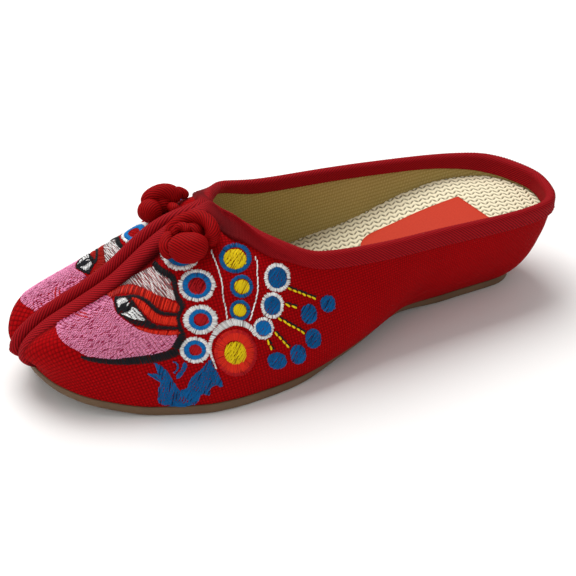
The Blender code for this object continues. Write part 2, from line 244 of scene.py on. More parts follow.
walls = {s: np.array([evenly(wall_curve(s, u), LINES) for u in ROW_NUMBERS]) for s in (1, -1)}
normals = {s: grid_normals(walls[s], s) for s in (1, -1)}
shared = (normals[1] + normals[-1]) / 2
for s in (1, -1):
    normals[s][0], normals[s][-1] = unit(shared[0]), unit(shared[-1])
    normals[s][THROAT_COLUMN:, 0] = unit(shared[THROAT_COLUMN:, 0])
print("skin grids:", walls[1].shape, "shift to frame mm:", np.round(TO_FRAME / MM, 3))

# %% [markdown]
# The camera comes early, because the embroidery is drawn where the photograph shows it: a spot in
# the picture is sent along the camera's ray to the canvas. The view was found by fitting the
# shoe's outline: a little in front of the left side, looking down, with a slight roll.

# %% The camera at the photograph's angle
IMAGE = 576
FOCAL_PX = 1055.0
SENSOR_MM = 36.0
VIEW_TURN, VIEW_RISE, VIEW_ROLL = (math.radians(a) for a in (21.8, 30.9, -2.0))
VIEW_AWAY = 431.0
VIEW_AIM = np.array([116.8, 4.0, 18.0])
back = np.array([math.cos(VIEW_RISE) * math.sin(VIEW_TURN), math.cos(VIEW_RISE) * math.cos(VIEW_TURN),
                 math.sin(VIEW_RISE)])
eye = in_frame(VIEW_AIM + VIEW_AWAY * back)
level = unit(np.cross(-back, (0, 0, 1)))
upright = np.cross(level, -back)
right = math.cos(VIEW_ROLL) * level + math.sin(VIEW_ROLL) * upright
up = math.cos(VIEW_ROLL) * upright - math.sin(VIEW_ROLL) * level

bpy.ops.object.select_all(action="DESELECT")
bpy.ops.object.camera_add()
camera = bpy.context.object
camera.matrix_world = Matrix([[*row, at] for row, at in zip(np.stack([right, up, back], axis=1), eye)]
                             + [[0, 0, 0, 1]])
camera.data.sensor_width = SENSOR_MM
camera.data.lens = FOCAL_PX / IMAGE * SENSOR_MM
camera.data.clip_start = 0.01
bpy.context.scene.camera = camera


def pixel_ray(x, y):
    """The direction in which the camera sees a spot of the photograph."""
    return unit(-back + right * (x - IMAGE / 2) / FOCAL_PX - up * (y - IMAGE / 2) / FOCAL_PX)


print("camera at", np.round(eye, 3), "lens", round(camera.data.lens, 2))

# %% [markdown]
# Colours are written as a painter reads them from a swatch, in sRGB hex, and Blender shades in
# linear light, so one function turns one into the other. Node trees are built by one helper that
# adds a node, sets its options and fills its inputs with numbers or with links.

# %% Colour and node helpers
def linear(hex_colour):
    channels = [int(hex_colour[i:i + 2], 16) / 255 for i in (1, 3, 5)]
    return [c / 12.92 if c <= 0.04045 else ((c + 0.055) / 1.055) ** 2.4 for c in channels] + [1.0]


MATH, MIX, NOISE, BUMP = "ShaderNodeMath", "ShaderNodeMix", "ShaderNodeTexNoise", "ShaderNodeBump"


def result_of(node):
    """A node's result: its first output that is in use."""
    return next(socket for socket in node.outputs if socket.enabled)


def add_node(tree, kind, inputs=None, to=None, **options):
    """One node with its options, its inputs set or linked, and its result linked on to a socket."""
    node = tree.nodes.new(kind)
    for name, value in options.items():
        setattr(node, name, value)
    for name, value in (inputs or {}).items():
        if isinstance(value, bpy.types.Node):
            value = result_of(value)
        if isinstance(value, bpy.types.NodeSocket):
            tree.links.new(value, node.inputs[name])
        else:
            node.inputs[name].default_value = value
    if to:
        tree.links.new(result_of(node), to)
    return node


def new_material(name, **sockets):
    """A Principled material with some of its sockets set."""
    made = bpy.data.materials.new(name)
    made.use_nodes = True
    shader = made.node_tree.nodes["Principled BSDF"]
    for socket, value in sockets.items():
        shader.inputs[socket.replace("_", " ")].default_value = value
    return made, made.node_tree, shader


def two_tone(tree, tone, span, dark, light, to=None):
    """A colour that goes from dark to light as a tone rises over its span."""
    much = add_node(tree, "ShaderNodeMapRange", {0: tone, 1: span[0], 2: span[1]})
    return add_node(tree, MIX, {"Factor": much, "A": linear(dark), "B": linear(light)}, to, data_type="RGBA")


# %% [markdown]
# Every cloth piece here starts as the grid primitive, with one vertex for each crossing of its
# lines, and is then laid on its true place. Sculpting would reach the same form by eye. A grid
# keeps the rows and columns straight, which seams, ribs and stitches follow.

# %% Grid primitive laid on given places
def read_all(items, field, width=1, kind=np.float32):
    """One field of all vertices, loops or UVs of a mesh, as an array."""
    values = np.empty(len(items) * width, kind)
    items.foreach_get(field, values)
    return values.reshape(-1, width) if width > 1 else values


def laid_grid(name, places, chart_mm=None):
    """A grid with a vertex at each of places[column][line], in metres, and a UV map in millimetres."""
    columns, lines = places.shape[:2]
    bpy.ops.object.select_all(action="DESELECT")
    bpy.ops.mesh.primitive_grid_add(x_subdivisions=columns - 1, y_subdivisions=lines - 1, size=1)
    piece = bpy.context.object
    piece.name = piece.data.name = name
    share = read_all(piece.data.vertices, "co", 3)[:, :2] + 0.5
    spot = np.rint(share * (columns - 1, lines - 1)).astype(int)
    piece.data.vertices.foreach_set("co", places[spot[:, 0], spot[:, 1]].astype(np.float32).ravel())
    if chart_mm is not None:
        corner = read_all(piece.data.loops, "vertex_index", kind=np.int32)
        chart = chart_mm[spot[corner, 0], spot[corner, 1]].astype(np.float32)
        piece.data.uv_layers[0].data.foreach_set("uv", chart.ravel())
    piece.data.update()
    return piece, spot


def select_only(*pieces):
    """Leaves just these pieces selected, with the first one active."""
    bpy.ops.object.select_all(action="DESELECT")
    for piece in pieces:
        piece.select_set(True)
    bpy.context.view_layer.objects.active = pieces[0]


def joined(name, pieces):
    """Several pieces made one."""
    select_only(*pieces)
    bpy.ops.object.join()
    pieces[0].name = pieces[0].data.name = name
    return pieces[0]


def thicken(piece, wall_mm, offset, inside_slot=0):
    """Gives a sheet its wall, with another material slot on the inside if asked."""
    select_only(piece)
    wall = piece.modifiers.new("wall", "SOLIDIFY")
    wall.thickness, wall.offset, wall.material_offset = wall_mm * MM, offset, inside_slot
    bpy.ops.object.modifier_apply(modifier="wall")


def edit(piece, *steps):
    """Runs edit-mode operators on the whole of a piece, given as (operator, options)."""
    select_only(piece)
    bpy.ops.object.mode_set(mode="EDIT")
    bpy.ops.mesh.select_all(action="SELECT")
    for operator, options in steps:
        operator(**options)
    bpy.ops.object.mode_set(mode="OBJECT")


def weld(piece, within, *steps):
    """Merges vertices closer than a distance, takes further steps and turns the faces outwards."""
    edit(piece, (bpy.ops.mesh.remove_doubles, {"threshold": within}), *steps,
         (bpy.ops.mesh.normals_make_consistent, {"inside": False}))


def finish_piece(piece, replaces=()):
    """Smooth shading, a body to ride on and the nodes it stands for."""
    select_only(piece)
    bpy.ops.object.shade_smooth()
    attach(piece, "root")
    if replaces:
        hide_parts(*replaces)
    print(piece.name, len(piece.data.polygons), "faces")


# %% [markdown]
# The canvas upper is two pieces of red cotton canvas sewn together at the heel and along the ridge,
# with a plain khaki lining. Each half is one grid on the last's surface, unwrapped flat so that the
# weave runs as on cut cloth, then both are welded and given the wall's thickness. The soft troughs
# where the cloth pulls in are listed in millimetres and degrees.

# %% Creases pressed into the canvas
Crease = namedtuple("Crease", "side row share long wide deep lean")
CREASES = [
    Crease(1, 1.6, 0.55, 16, 5, 0.50, 20),
    Crease(1, 2.5, 0.75, 14, 6, 0.45, -15),
    Crease(1, 4.6, 0.72, 26, 7, 0.55, 65),
    Crease(1, 6.4, 0.80, 22, 6, 0.45, 75),
    Crease(1, 5.6, 0.45, 18, 6, -0.35, 40),
    Crease(-1, 2.0, 0.60, 16, 6, 0.50, 10),
    Crease(-1, 4.2, 0.70, 24, 7, 0.55, 65),
    Crease(-1, 6.2, 0.75, 22, 6, 0.45, 80),
]


def creased(side):
    """The half's grid in millimetres with its creases, each a soft trough along its own line."""
    grid = walls[side].copy()
    for crease in (c for c in CREASES if c.side == side):
        i, k = crease.row * STEPS_PER_ROW, crease.share * (LINES - 1)
        centre = grid[int(i), int(k)]
        down = unit(grid[int(i), int(k) + 1] - centre)
        forward = unit(grid[int(i) + 1, int(k)] - centre)
        lean = math.radians(crease.lean)
        line = math.cos(lean) * down + math.sin(lean) * forward
        away = grid - centre
        run = away @ line
        off = np.linalg.norm(away - run[..., None] * line, axis=-1)
        depth = crease.deep * np.exp(-(run / crease.long * 2) ** 2 - (off / crease.wide * 2) ** 2)
        grid = grid - depth[..., None] * normals[side]
    return grid


skin = {s: in_frame(creased(s)) for s in (1, -1)}
SHADE_FROM, SHADE_TO = 9.0, 14.0
SHADE_COLUMNS = 6


def welt_shade(side):
    """1 where the near welt keeps the light from behind off the canvas beside it, 0 elsewhere."""
    past_throat = (np.arange(COLUMNS) - THROAT_COLUMN)[:, None]
    ahead = smoothstep(-SHADE_COLUMNS, SHADE_COLUMNS, past_throat)
    return (side > 0) * ahead * (1 - smoothstep(SHADE_FROM, SHADE_TO, run_across(walls[side])))


def add_values(piece, name, values):
    """A named number on each vertex, for a material to read."""
    layer = piece.data.attributes.new(name, "FLOAT", "POINT")
    layer.data.foreach_set("value", np.asarray(values, np.float32))


# %% Two unwrapped halves, welded and thickened
def flat_chart(piece):
    """Unwraps one half and turns and scales its UV map to millimetres, U towards the toe."""
    edit(piece, (bpy.ops.uv.unwrap, {"method": "CONFORMAL", "margin": 0.0}))
    layer = piece.data.uv_layers[0].data
    flat = read_all(layer, "uv", 2)
    corner = read_all(piece.data.loops, "vertex_index", kind=np.int32)
    x = read_all(piece.data.vertices, "co", 3)[corner, 0] / MM
    middle = flat - flat.mean(axis=0)
    fit = np.linalg.lstsq(middle, x - x.mean(), rcond=None)[0]
    ahead = fit / np.linalg.norm(fit)
    turned = np.stack([middle @ ahead, middle @ np.array([-ahead[1], ahead[0]])], axis=1)
    sides = flat[np.arange(len(flat)).reshape(-1, 4)]
    cross = np.abs(np.cross(sides[:, 1] - sides[:, 0], sides[:, 3] - sides[:, 0]))
    area = sum(polygon.area for polygon in piece.data.polygons) / MM ** 2
    turned *= math.sqrt(area / cross.sum())
    layer.foreach_set("uv", turned.astype(np.float32).ravel())


halves = []
for word, side in SIDES.items():
    half, spot = laid_grid("canvas_" + word, skin[side])
    add_values(half, "in_shade", welt_shade(side)[spot[:, 0], spot[:, 1]])
    flat_chart(half)
    if side < 0:
        edit(half, (bpy.ops.mesh.flip_normals, {}))
    halves.append(half)
upper = joined("canvas_upper", halves)
edit(upper, (bpy.ops.mesh.remove_doubles, {"threshold": 0.02 * MM}))
print("canvas halves welded:", len(upper.data.vertices), "vertices")

# %% [markdown]
# Cotton canvas is a plain weave: each thread goes over one and under the next, so the surface is a
# field of small bumps with dark pinholes between. The real threads lie about 0.6 mm apart, which is
# about one pixel here, so the weave is drawn at 1.1 mm. The lining is a thinner weave of the same kind.
# Beside the near welt the cloth lies in shade, deeper than soft studio light makes it, so a value on
# each vertex darkens it there. Painting a texture would do the same, with more to keep in step.

# %% Canvas and lining materials
CANVAS_PITCH_MM, CANVAS_RELIEF_MM = 1.1, 0.28
LINING_PITCH_MM, LINING_RELIEF_MM, LINING_STRETCH = 0.9, 0.12, 2.0
# Painted shade: how far it darkens the cloth, and towards which red.
PAINTED_SHADE_SHARE, PAINTED_SHADE_RED = 0.7, "#200103"
THREAD_ROUND, THREAD_OVER = 0.5, 0.16
UNEVEN_MM, UNEVEN_SHARE = 22.2, 0.35
SLUB_MM, SLUB_SHARE = 1.11, 0.5
WEAVE_TONES = 0.35, 1.45


def shaded(tree, colour, attribute, to):
    """Paints shade into a colour: darkens it towards deep red where an attribute marks shade on the cloth."""
    deep = add_node(tree, "ShaderNodeAttribute", attribute_name=attribute)
    much = add_node(tree, MATH, {0: deep.outputs["Fac"], 1: PAINTED_SHADE_SHARE}, operation="MULTIPLY")
    add_node(tree, MIX, {"Factor": much, "A": colour, "B": linear(PAINTED_SHADE_RED)}, to, data_type="RGBA")


def woven(name, light, dark, pitch_mm, roughness, relief_mm, stretch=1.0):
    """Cotton plain weave: matt, with a bump for each crossing and darker gaps between threads."""
    made, tree, shader = new_material(name, Roughness=roughness, Specular_IOR_Level=0.04)
    chart = add_node(tree, "ShaderNodeUVMap")
    axes = add_node(tree, "ShaderNodeSeparateXYZ", {0: chart})
    waves = []
    for axis, pitch in (("X", pitch_mm), ("Y", pitch_mm * stretch)):
        turn = add_node(tree, MATH, {0: axes.outputs[axis], 1: math.pi / pitch}, operation="MULTIPLY")
        waves.append(add_node(tree, MATH, {0: turn}, operation="SINE"))
    crossing = add_node(tree, MATH, {0: waves[0], 1: waves[1]}, operation="MULTIPLY")
    bump_of = add_node(tree, MATH, {0: crossing}, operation="ABSOLUTE")
    rounded = add_node(tree, MATH, {0: bump_of, 1: THREAD_ROUND}, operation="POWER")
    over = add_node(tree, MATH, {0: crossing, 1: THREAD_OVER, 2: rounded}, operation="MULTIPLY_ADD")
    where = add_node(tree, "ShaderNodeTexCoord")
    uneven = add_node(tree, NOISE, {"Vector": where.outputs["Object"], "Scale": 1 / (UNEVEN_MM * MM),
                                    "Detail": 4.0})
    slub = add_node(tree, NOISE, {"Vector": chart, "Scale": 1 / SLUB_MM, "Detail": 3.0})
    tone = add_node(tree, MATH, {0: uneven, 1: UNEVEN_SHARE, 2: over}, operation="MULTIPLY_ADD")
    tone = add_node(tree, MATH, {0: slub, 1: SLUB_SHARE, 2: tone}, operation="MULTIPLY_ADD")
    colour = two_tone(tree, tone, WEAVE_TONES, dark, light)
    shaded(tree, colour, "in_shade", shader.inputs["Base Color"])
    add_node(tree, BUMP, {"Strength": 0.6, "Distance": relief_mm * MM, "Height": over},
             shader.inputs["Normal"])
    return made


canvas = woven("red_cotton_canvas", "#AC050B", "#640103", CANVAS_PITCH_MM, roughness=0.85,
               relief_mm=CANVAS_RELIEF_MM)
lining = woven("khaki_cotton_lining", "#BCA668", "#8E7A40", LINING_PITCH_MM, roughness=0.9,
               relief_mm=LINING_RELIEF_MM, stretch=LINING_STRETCH)
for cloth in (canvas, lining):
    upper.data.materials.append(cloth)
thicken(upper, WALL, -1.0, inside_slot=1)
finish_piece(upper, ["upper"])

# %% [markdown]
# One folded tape per side binds the shoe: it stands up as a welt beside the centre seam, from the
# toe to the throat, turns there and lies over the collar's edge round to the heel. It could be a
# swept curve, but its section changes from a standing welt to a flat fold, so each step of the
# grid has its own section, blended at the throat. The tape's diagonal ribs are real relief.

# %% The path of one tape, from the toe over the throat to the heel
TAPE_STEP_MM = 0.25
TAPE_POINTS = 30
WELT_WIDTHS = {1: 8.0, -1: 5.2}
WELT_CROWN = 2.6
WELT_HEIGHTS = {1: 5.5, -1: 6.9}
WELT_SPLIT = 0.15
WELT_FOOT_OUT, WELT_FOOT_IN = -1.2, -0.4
CROWN_POINTS = 17
END_ROUND, END_LOW = 3.0, 0.02
SOFT_STEPS = 14
WELT_ABOVE_SOLE = 2.5
TURN_START, TURN_END = -4.0, 9.0
THROAT_SLIDE, THROAT_SPREAD = 3.2, 7.0
WELT_DIP, DIP_SPREAD = {1: 0.1, -1: 0.5}, 13.0
ROLL_OUT, ROLL_FROM_EDGE, ROLL_SPREAD = {1: 2.0, -1: 0.0}, 1.5, 1.6
HEEL_INSIDE, HEEL_ROWS = 2.6, (1.5, 3.5)
FOLD_OUTSIDE = 4.6
FOLD_FAN = 13.0
FAN_ROWS = (6.1, 9.0)
ROLL_ROWS = (5.6, 7.6)
FOLD_INSIDE = 3.8
FOLD_RADIUS = WALL / 2 + GAP + TAPE
FOLD_CLEAR, HEM_LIFT = 0.5, 0.1
OUTSIDE_POINTS, ARC_POINTS, INSIDE_POINTS = 12, 13, 7
OFF_RIDGE = 1000


def tape_path(side):
    """Grid spots (column, line) along the tape's edge: up the toe, along the ridge, round the collar."""
    floor = walls[side][-1, -1, 2] + WELT_ABOVE_SOLE
    front = [(COLUMNS - 1, k) for k in range(1, LINES) if walls[side][-1, k, 2] > floor][::-1]
    return np.array(front + [(i, 0) for i in range(COLUMNS - 1, -1, -1)], float)


def on_grid(grid, spots):
    """A grid read between its crossings, at (column, line) spots."""
    i = np.clip(spots[:, 0].astype(int), 0, grid.shape[0] - 2)
    k = np.clip(spots[:, 1].astype(int), 0, grid.shape[1] - 2)
    a, b = (spots[:, 0] - i)[:, None], (spots[:, 1] - k)[:, None]
    return ((1 - a) * ((1 - b) * grid[i, k] + b * grid[i, k + 1])
            + a * ((1 - b) * grid[i + 1, k] + b * grid[i + 1, k + 1]))


def softened(values, steps):
    """A running average that keeps both ends."""
    kernel = np.hanning(2 * steps + 1)
    kernel /= kernel.sum()
    padded = np.concatenate([np.repeat(values[:1], steps, 0), values, np.repeat(values[-1:], steps, 0)])
    return np.stack([np.convolve(padded[:, c], kernel, "valid") for c in range(values.shape[1])], axis=1)


# %% Sections of the tape and its ribs
RIB_ALONG_MM = 1.5
RIB_SLANT = 1.3
RIB_HEIGHT_MM = 0.08
SEAM_FROM_EDGE, SEAM_WIDE = 1.9, 0.35
SEAM_STITCH_MM = 2.4
SEAM_EVEN = 0.6
SEAM_DEPTH_MM = 0.4
FOLD_SHADE_TO, FOLD_SHADE_FROM = 5.0, 1.5
FOOT_SHADE_FROM, FOOT_SHADE_TO = 2.5, 6.5


def welt_section(side):
    """The standing welt, as (away from the seam, up from the skin): outer foot, crown, inner foot."""
    radius = WELT_WIDTHS[side] / 2
    crown = [(WELT_SPLIT + radius + radius * math.cos(a), WELT_HEIGHTS[side] + WELT_CROWN * (math.sin(a) - 1))
             for a in np.linspace(0, math.pi, CROWN_POINTS)]
    feet = (WELT_SPLIT + 2 * radius, WELT_FOOT_OUT), (WELT_SPLIT, WELT_FOOT_IN)
    return evenly(np.array([feet[0], *crown, feet[1]]), TAPE_POINTS)


def fold_sections(side, spots):
    """The tape folded over the collar, down both faces. It fans out and rolls over towards the throat."""
    sections = []
    for column, _ in spots:
        i = int(min(column, COLUMNS - 2))
        t = column - i
        row = column / STEPS_PER_ROW
        outside_mm = FOLD_OUTSIDE + FOLD_FAN * smoothstep(*FAN_ROWS, row)
        inside_mm = FOLD_INSIDE + HEEL_INSIDE * (1 - smoothstep(*HEEL_ROWS, row))
        depths = np.linspace(outside_mm, FOLD_CLEAR, OUTSIDE_POINTS)
        inner = np.linspace(FOLD_CLEAR, inside_mm, INSIDE_POINTS)
        roll = hill(np.append(depths, 0), ROLL_FROM_EDGE, ROLL_SPREAD)
        roll *= smoothstep(*ROLL_ROWS, row) * ROLL_OUT[side]
        wall_line = (1 - t) * walls[side][i] + t * walls[side][i + 1]
        wall_out = unit((1 - t) * normals[side][i] + t * normals[side][i + 1])
        run = run_along(wall_line)

        def at(depth, lift):
            point, out = (read_at([depth], run, line)[0] for line in (wall_line, wall_out))
            return point + lift * out

        rise = unit(wall_line[0] - at(inside_mm, 0))
        middle = wall_line[0] - wall_out[0] * WALL / 2
        arc = [middle + (FOLD_RADIUS + max(math.cos(a), 0) * roll[-1]) * math.cos(a) * wall_out[0]
               + FOLD_RADIUS * math.sin(a) * rise for a in np.linspace(0, math.pi, ARC_POINTS)]
        outside = [at(outside_mm, HEM_LIFT)] + [at(d, GAP + TAPE + more) for d, more in zip(depths, roll)]
        inside = [at(d, -WALL - GAP - TAPE) for d in inner] + [at(inside_mm, -WALL - HEM_LIFT)]
        sections.append(evenly(np.array(outside + arc + inside), TAPE_POINTS))
    return np.array(sections)


def tape_surface(side):
    """The tape's faces, their chart (along, across) in millimetres, and the shade painted on them."""
    spots = tape_path(side)
    edge = on_grid(walls[side], spots)
    run = run_along(edge)
    count = int(run[-1] / TAPE_STEP_MM)
    at = np.linspace(0, run[-1], count)
    spots = read_at(at, run, spots)
    throat = at[np.argmin(np.abs(spots[:, 0] - THROAT_COLUMN) + OFF_RIDGE * (spots[:, 1] > 0))]
    edge = softened(on_grid(walls[side], spots), SOFT_STEPS)
    out = unit(softened(on_grid(normals[side], spots), SOFT_STEPS))
    ahead = unit(np.gradient(edge, axis=0))
    away = unit(softened(side * np.cross(ahead, out), SOFT_STEPS))
    welt = welt_section(side)
    end = np.sqrt(np.clip(at / END_ROUND, END_LOW, 1))[:, None]
    dip = (1 - WELT_DIP[side] * hill(at, throat, DIP_SPREAD))[:, None]
    standing = (edge[:, None] + welt[None, :, :1] * away[:, None]
                + (welt[None, :, 1:] * (end * dip)[..., None]) * out[:, None])
    folded = fold_sections(side, spots)
    slid = hill(at, throat, THROAT_SPREAD)[:, None, None] * np.array([-THROAT_SLIDE, 0, 0])
    turn = smoothstep(throat + TURN_START, throat + TURN_END, at)[:, None, None]
    faces = (1 - turn) * standing + turn * folded + slid
    chart = np.stack([np.repeat(at[:, None], TAPE_POINTS, 1), run_across(faces)], axis=2)
    outs = unit(side * np.cross(np.gradient(faces, axis=1), np.gradient(faces, axis=0)))
    rib = np.sin(2 * math.pi * (chart[..., 0] + RIB_SLANT * chart[..., 1]) / RIB_ALONG_MM)
    seam = hill(chart[..., 1], SEAM_FROM_EDGE, SEAM_WIDE) * turn[..., 0]
    dash = SEAM_EVEN + (1 - SEAM_EVEN) * np.cos(2 * math.pi * chart[..., 0] / SEAM_STITCH_MM)
    # Painted shade: darker under the rolled rim where the collar tape fans out, and along the near welt's
    # outer foot.
    fan = smoothstep(*FAN_ROWS, spots[:, :1] / STEPS_PER_ROW)
    rim = FOLD_OUTSIDE + FOLD_FAN * fan
    below_rim = 1 - smoothstep(rim - FOLD_SHADE_TO, rim - FOLD_SHADE_FROM, chart[..., 1])
    at_foot = 1 - smoothstep(FOOT_SHADE_FROM, FOOT_SHADE_TO, chart[..., 1])
    tape_painted_shade = fan * turn[..., 0] * below_rim + (side > 0) * (1 - turn[..., 0]) * at_foot
    return faces + (RIB_HEIGHT_MM * rib - SEAM_DEPTH_MM * seam * dash)[..., None] * outs, chart, tape_painted_shade


# %% Twill tape material
TWILL_FIBRE_MM, TWILL_FIBRE = 0.455, 1.2
TWILL_TONES = -0.5, 1.7


def ribbed_tape():
    """Cotton twill tape: a painted sheen on slanting ribs and painted shade in the furrows between them."""
    made, tree, shader = new_material("red_cotton_twill_tape", Roughness=0.75, Specular_IOR_Level=0.08)
    chart = add_node(tree, "ShaderNodeUVMap")
    axes = add_node(tree, "ShaderNodeSeparateXYZ", {0: chart})
    slant = add_node(tree, MATH, {0: axes.outputs["Y"], 1: RIB_SLANT, 2: axes.outputs["X"]},
                     operation="MULTIPLY_ADD")
    turn = add_node(tree, MATH, {0: slant, 1: 2 * math.pi / RIB_ALONG_MM}, operation="MULTIPLY")
    rib = add_node(tree, MATH, {0: turn}, operation="SINE")
    fibre = add_node(tree, NOISE, {"Vector": chart, "Scale": 1 / TWILL_FIBRE_MM, "Detail": 4.0})
    # The rib term paints sheen on the ribs' crowns and shade in the furrows; the fibre noise is the cloth's
    # own uneven tone.
    tone = add_node(tree, MATH, {0: fibre, 1: TWILL_FIBRE, 2: rib}, operation="MULTIPLY_ADD")
    colour = two_tone(tree, tone, TWILL_TONES, "#66030A", "#AC1019")
    shaded(tree, colour, "tape_painted_shade", shader.inputs["Base Color"])
    add_node(tree, BUMP, {"Strength": 0.5, "Distance": 0.12 * MM, "Height": tone}, shader.inputs["Normal"])
    return made


tape_cloth = ribbed_tape()
TAPE_NODES = {"left": ["collar_binding", "ridge_binding_left"], "right": ["ridge_binding_right"]}
for word, side in SIDES.items():
    faces, chart, tape_painted_shade = tape_surface(side)
    tape, spot = laid_grid("binding_tape_" + word, in_frame(faces), chart)
    add_values(tape, "tape_painted_shade", tape_painted_shade[spot[:, 0], spot[:, 1]])
    if side > 0:
        edit(tape, (bpy.ops.mesh.flip_normals, {}))
    tape.data.materials.append(tape_cloth)
    finish_piece(tape, TAPE_NODES[word])

# %% [markdown]
# The knots are cord buttons: a thick thread-wrapped cord laid in a ring, with more turns pulled
# across it into a ball. A sphere would read as a bead, so each turn is its own tube along a curve,
# and fine grooves wind along every tube as the wrapping thread does. The near knot's turns are spots
# of the photograph with a height over the canvas, and the far knot's are in its own directions.

# %% Thread-wrapped cord along a path
KNOT_ROW = 9.42
KNOT_FROM_RIDGE = 16.4
KNOT_LIFT = 0.3
STRAND_MM = 1.15
STRAND_GROOVE = 0.28
STRAND_SLANT = 0.75
NO_CORD_WAY = np.array([0.13, 0.31, 0.9])
CORD_END_LOW = 0.0004
CORD_FIBRE_MM, CORD_FIBRE = 0.667, 0.7
CORD_TONES = 0.25, 1.4


def cord_tube(path, radius, samples=70):
    """Places of a tube along a path in millimetres, round at both ends, with strands as relief."""
    path = evenly(smooth_line(path), samples)
    ahead = unit(np.gradient(path, axis=0))
    run = run_along(path)
    side_ways = unit(np.cross(ahead, NO_CORD_WAY))
    top = np.cross(side_ways, ahead)
    strands = int(2 * math.pi * radius / STRAND_MM)
    angle = np.linspace(0, 2 * math.pi, 4 * strands + 1)
    strand = strands * (angle[None] + STRAND_SLANT * run[:, None] / radius) / (2 * math.pi)
    groove = np.abs(np.sin(math.pi * strand))
    near_end = np.clip(np.minimum(run, run[-1] - run) / radius, 0, 1)
    taper = np.sqrt(np.clip(1 - (1 - near_end) ** 2, CORD_END_LOW, 1))
    size = (radius + STRAND_GROOVE * (groove - 1)) * taper[:, None]
    places = (path[:, None] + size[..., None] * (np.cos(angle)[None, :, None] * side_ways[:, None]
                                                 + np.sin(angle)[None, :, None] * top[:, None]))
    return places, np.stack(np.broadcast_arrays(run[:, None], strand), axis=2)


# %% The turns of one knot
KnotTurn = namedtuple("KnotTurn", "radius path")
NEAR_TURNS = [
    KnotTurn(5.7, [(174, 251, 2.4), (182, 248.5, 4.4), (190.5, 248, 4.9), (199, 248.5, 4.4),
                   (207, 251, 2.4)]),
    KnotTurn(2.7, [(171, 238, 1.0), (173, 228, 3.4), (184, 220, 4.6), (196, 217, 5.2), (206.5, 220.5, 5.0),
                   (212.5, 229, 4.4), (212.5, 237, 3.2), (207, 243, 1.0)]),
    KnotTurn(2.8, [(173, 235, 2.0), (167.5, 241, 4.0), (166.5, 247.5, 4.3), (168.5, 252, 3.2),
                   (173, 255, 1.2)]),
    KnotTurn(4.2, [(180, 239, 1.0), (192, 233, 2.2), (204, 236, 1.4)]),
    KnotTurn(1.5, [(173, 235, 5.0), (178, 227.5, 6.4), (185, 226.5, 7.2), (189, 232, 7.0)]),
]
FAR_TURNS = [
    KnotTurn(5.0, [(9.4, -1.6, 2.4), (6.6, -1.3, 3.6), (3.8, -1.2, 3.6), (1.0, -1.2, 2.4)]),
    KnotTurn(3.3, [(1.0, -3.6, 4.4), (0.0, -0.7, 7.2), (-2.0, 3.6, 7.0), (-3.0, 6.6, 4.6), (-3.0, 6.9, 0.4)]),
    KnotTurn(2.3, [(-5.0, 4.5, 3.0), (-5.5, 7.6, 3.4), (-6.0, 9.2, 1.4), (-6.0, 9.4, -0.6)]),
    KnotTurn(4.0, [(2.0, -1.0, 2.0), (-1.0, 2.0, 2.6), (-4.0, 4.0, 1.6)]),
    KnotTurn(1.9, [(6.8, 10.0, 0.6), (4.0, 7.9, 1.2), (1.2, 5.6, 1.0), (-1.6, 3.4, 0.4)]),
]


def knot_frame(side):
    """The spot on the canvas and the directions across, along and out of the knot."""
    column = KNOT_ROW * STEPS_PER_ROW
    wall_line = on_grid(walls[side], np.stack([np.full(LINES, column), np.arange(LINES)], 1))
    spot = np.array([[column, np.interp(KNOT_FROM_RIDGE, run_along(wall_line), np.arange(LINES))]])
    out = unit(on_grid(normals[side], spot))[0]
    across = unit(np.cross((0, 0, 1.0), out))
    return on_grid(walls[side], spot)[0], np.stack([across, np.cross(out, across), out])


def seen_path(path):
    """The near knot's spots (x, y, out) as the photograph shows them, in the knot's own directions."""
    middle, axes_of = knot_frame(1)
    start = (eye - TO_FRAME) / MM
    points = []
    for x, y, out in path:
        ray = pixel_ray(x, y)
        away = ((middle - start) @ axes_of[2] + out + KNOT_LIFT) / (ray @ axes_of[2])
        points.append(axes_of @ (start + away * ray - middle) - (0, 0, KNOT_LIFT))
    return np.array(points)


def wrapped_cord():
    """Rayon-wrapped cord: a painted highlight along its strands and painted shade in the grooves between
    them.
    """
    made, tree, shader = new_material("red_rayon_wrapped_cord", Roughness=0.65, Specular_IOR_Level=0.04)
    chart = add_node(tree, "ShaderNodeUVMap")
    axes = add_node(tree, "ShaderNodeSeparateXYZ", {0: chart})
    turn = add_node(tree, MATH, {0: axes.outputs["Y"], 1: math.pi}, operation="MULTIPLY")
    wave = add_node(tree, MATH, {0: turn}, operation="SINE")
    strand = add_node(tree, MATH, {0: wave}, operation="ABSOLUTE")
    fibre = add_node(tree, NOISE, {"Vector": chart, "Scale": 1 / CORD_FIBRE_MM, "Detail": 5.0})
    tone = add_node(tree, MATH, {0: fibre, 1: CORD_FIBRE, 2: strand}, operation="MULTIPLY_ADD")
    # The strand tone paints a highlight on each strand and shade in the grooves between them.
    two_tone(tree, tone, CORD_TONES, "#340103", "#A60A0D", shader.inputs["Base Color"])
    add_node(tree, BUMP, {"Strength": 0.4, "Distance": 0.15 * MM, "Height": fibre}, shader.inputs["Normal"])
    return made


cord_cloth = wrapped_cord()
for word, side in SIDES.items():
    middle, axes_of = knot_frame(side)
    turns = []
    for number, knot_turn in enumerate(NEAR_TURNS if side > 0 else FAR_TURNS):
        path = seen_path(knot_turn.path) if side > 0 else np.array(knot_turn.path)
        places, chart = cord_tube(path, knot_turn.radius)
        places = middle + (places + (0, 0, KNOT_LIFT)) @ axes_of
        turns.append(laid_grid(f"knot_turn_{word}_{number}", in_frame(places), chart)[0])
    knot = joined("cord_knot_" + word, turns)
    weld(knot, within=0.005 * MM)
    knot.data.materials.append(cord_cloth)
    finish_piece(knot, ["knot_" + word])

# %% [markdown]
# The foot bed is covered with a coarse weave of cream paper straw over taupe. Its zigzag rows are
# a few millimetres tall, large enough to be real relief, so a fine grid over the foot bed carries
# them, and the same depth darkens the holes between the straws.

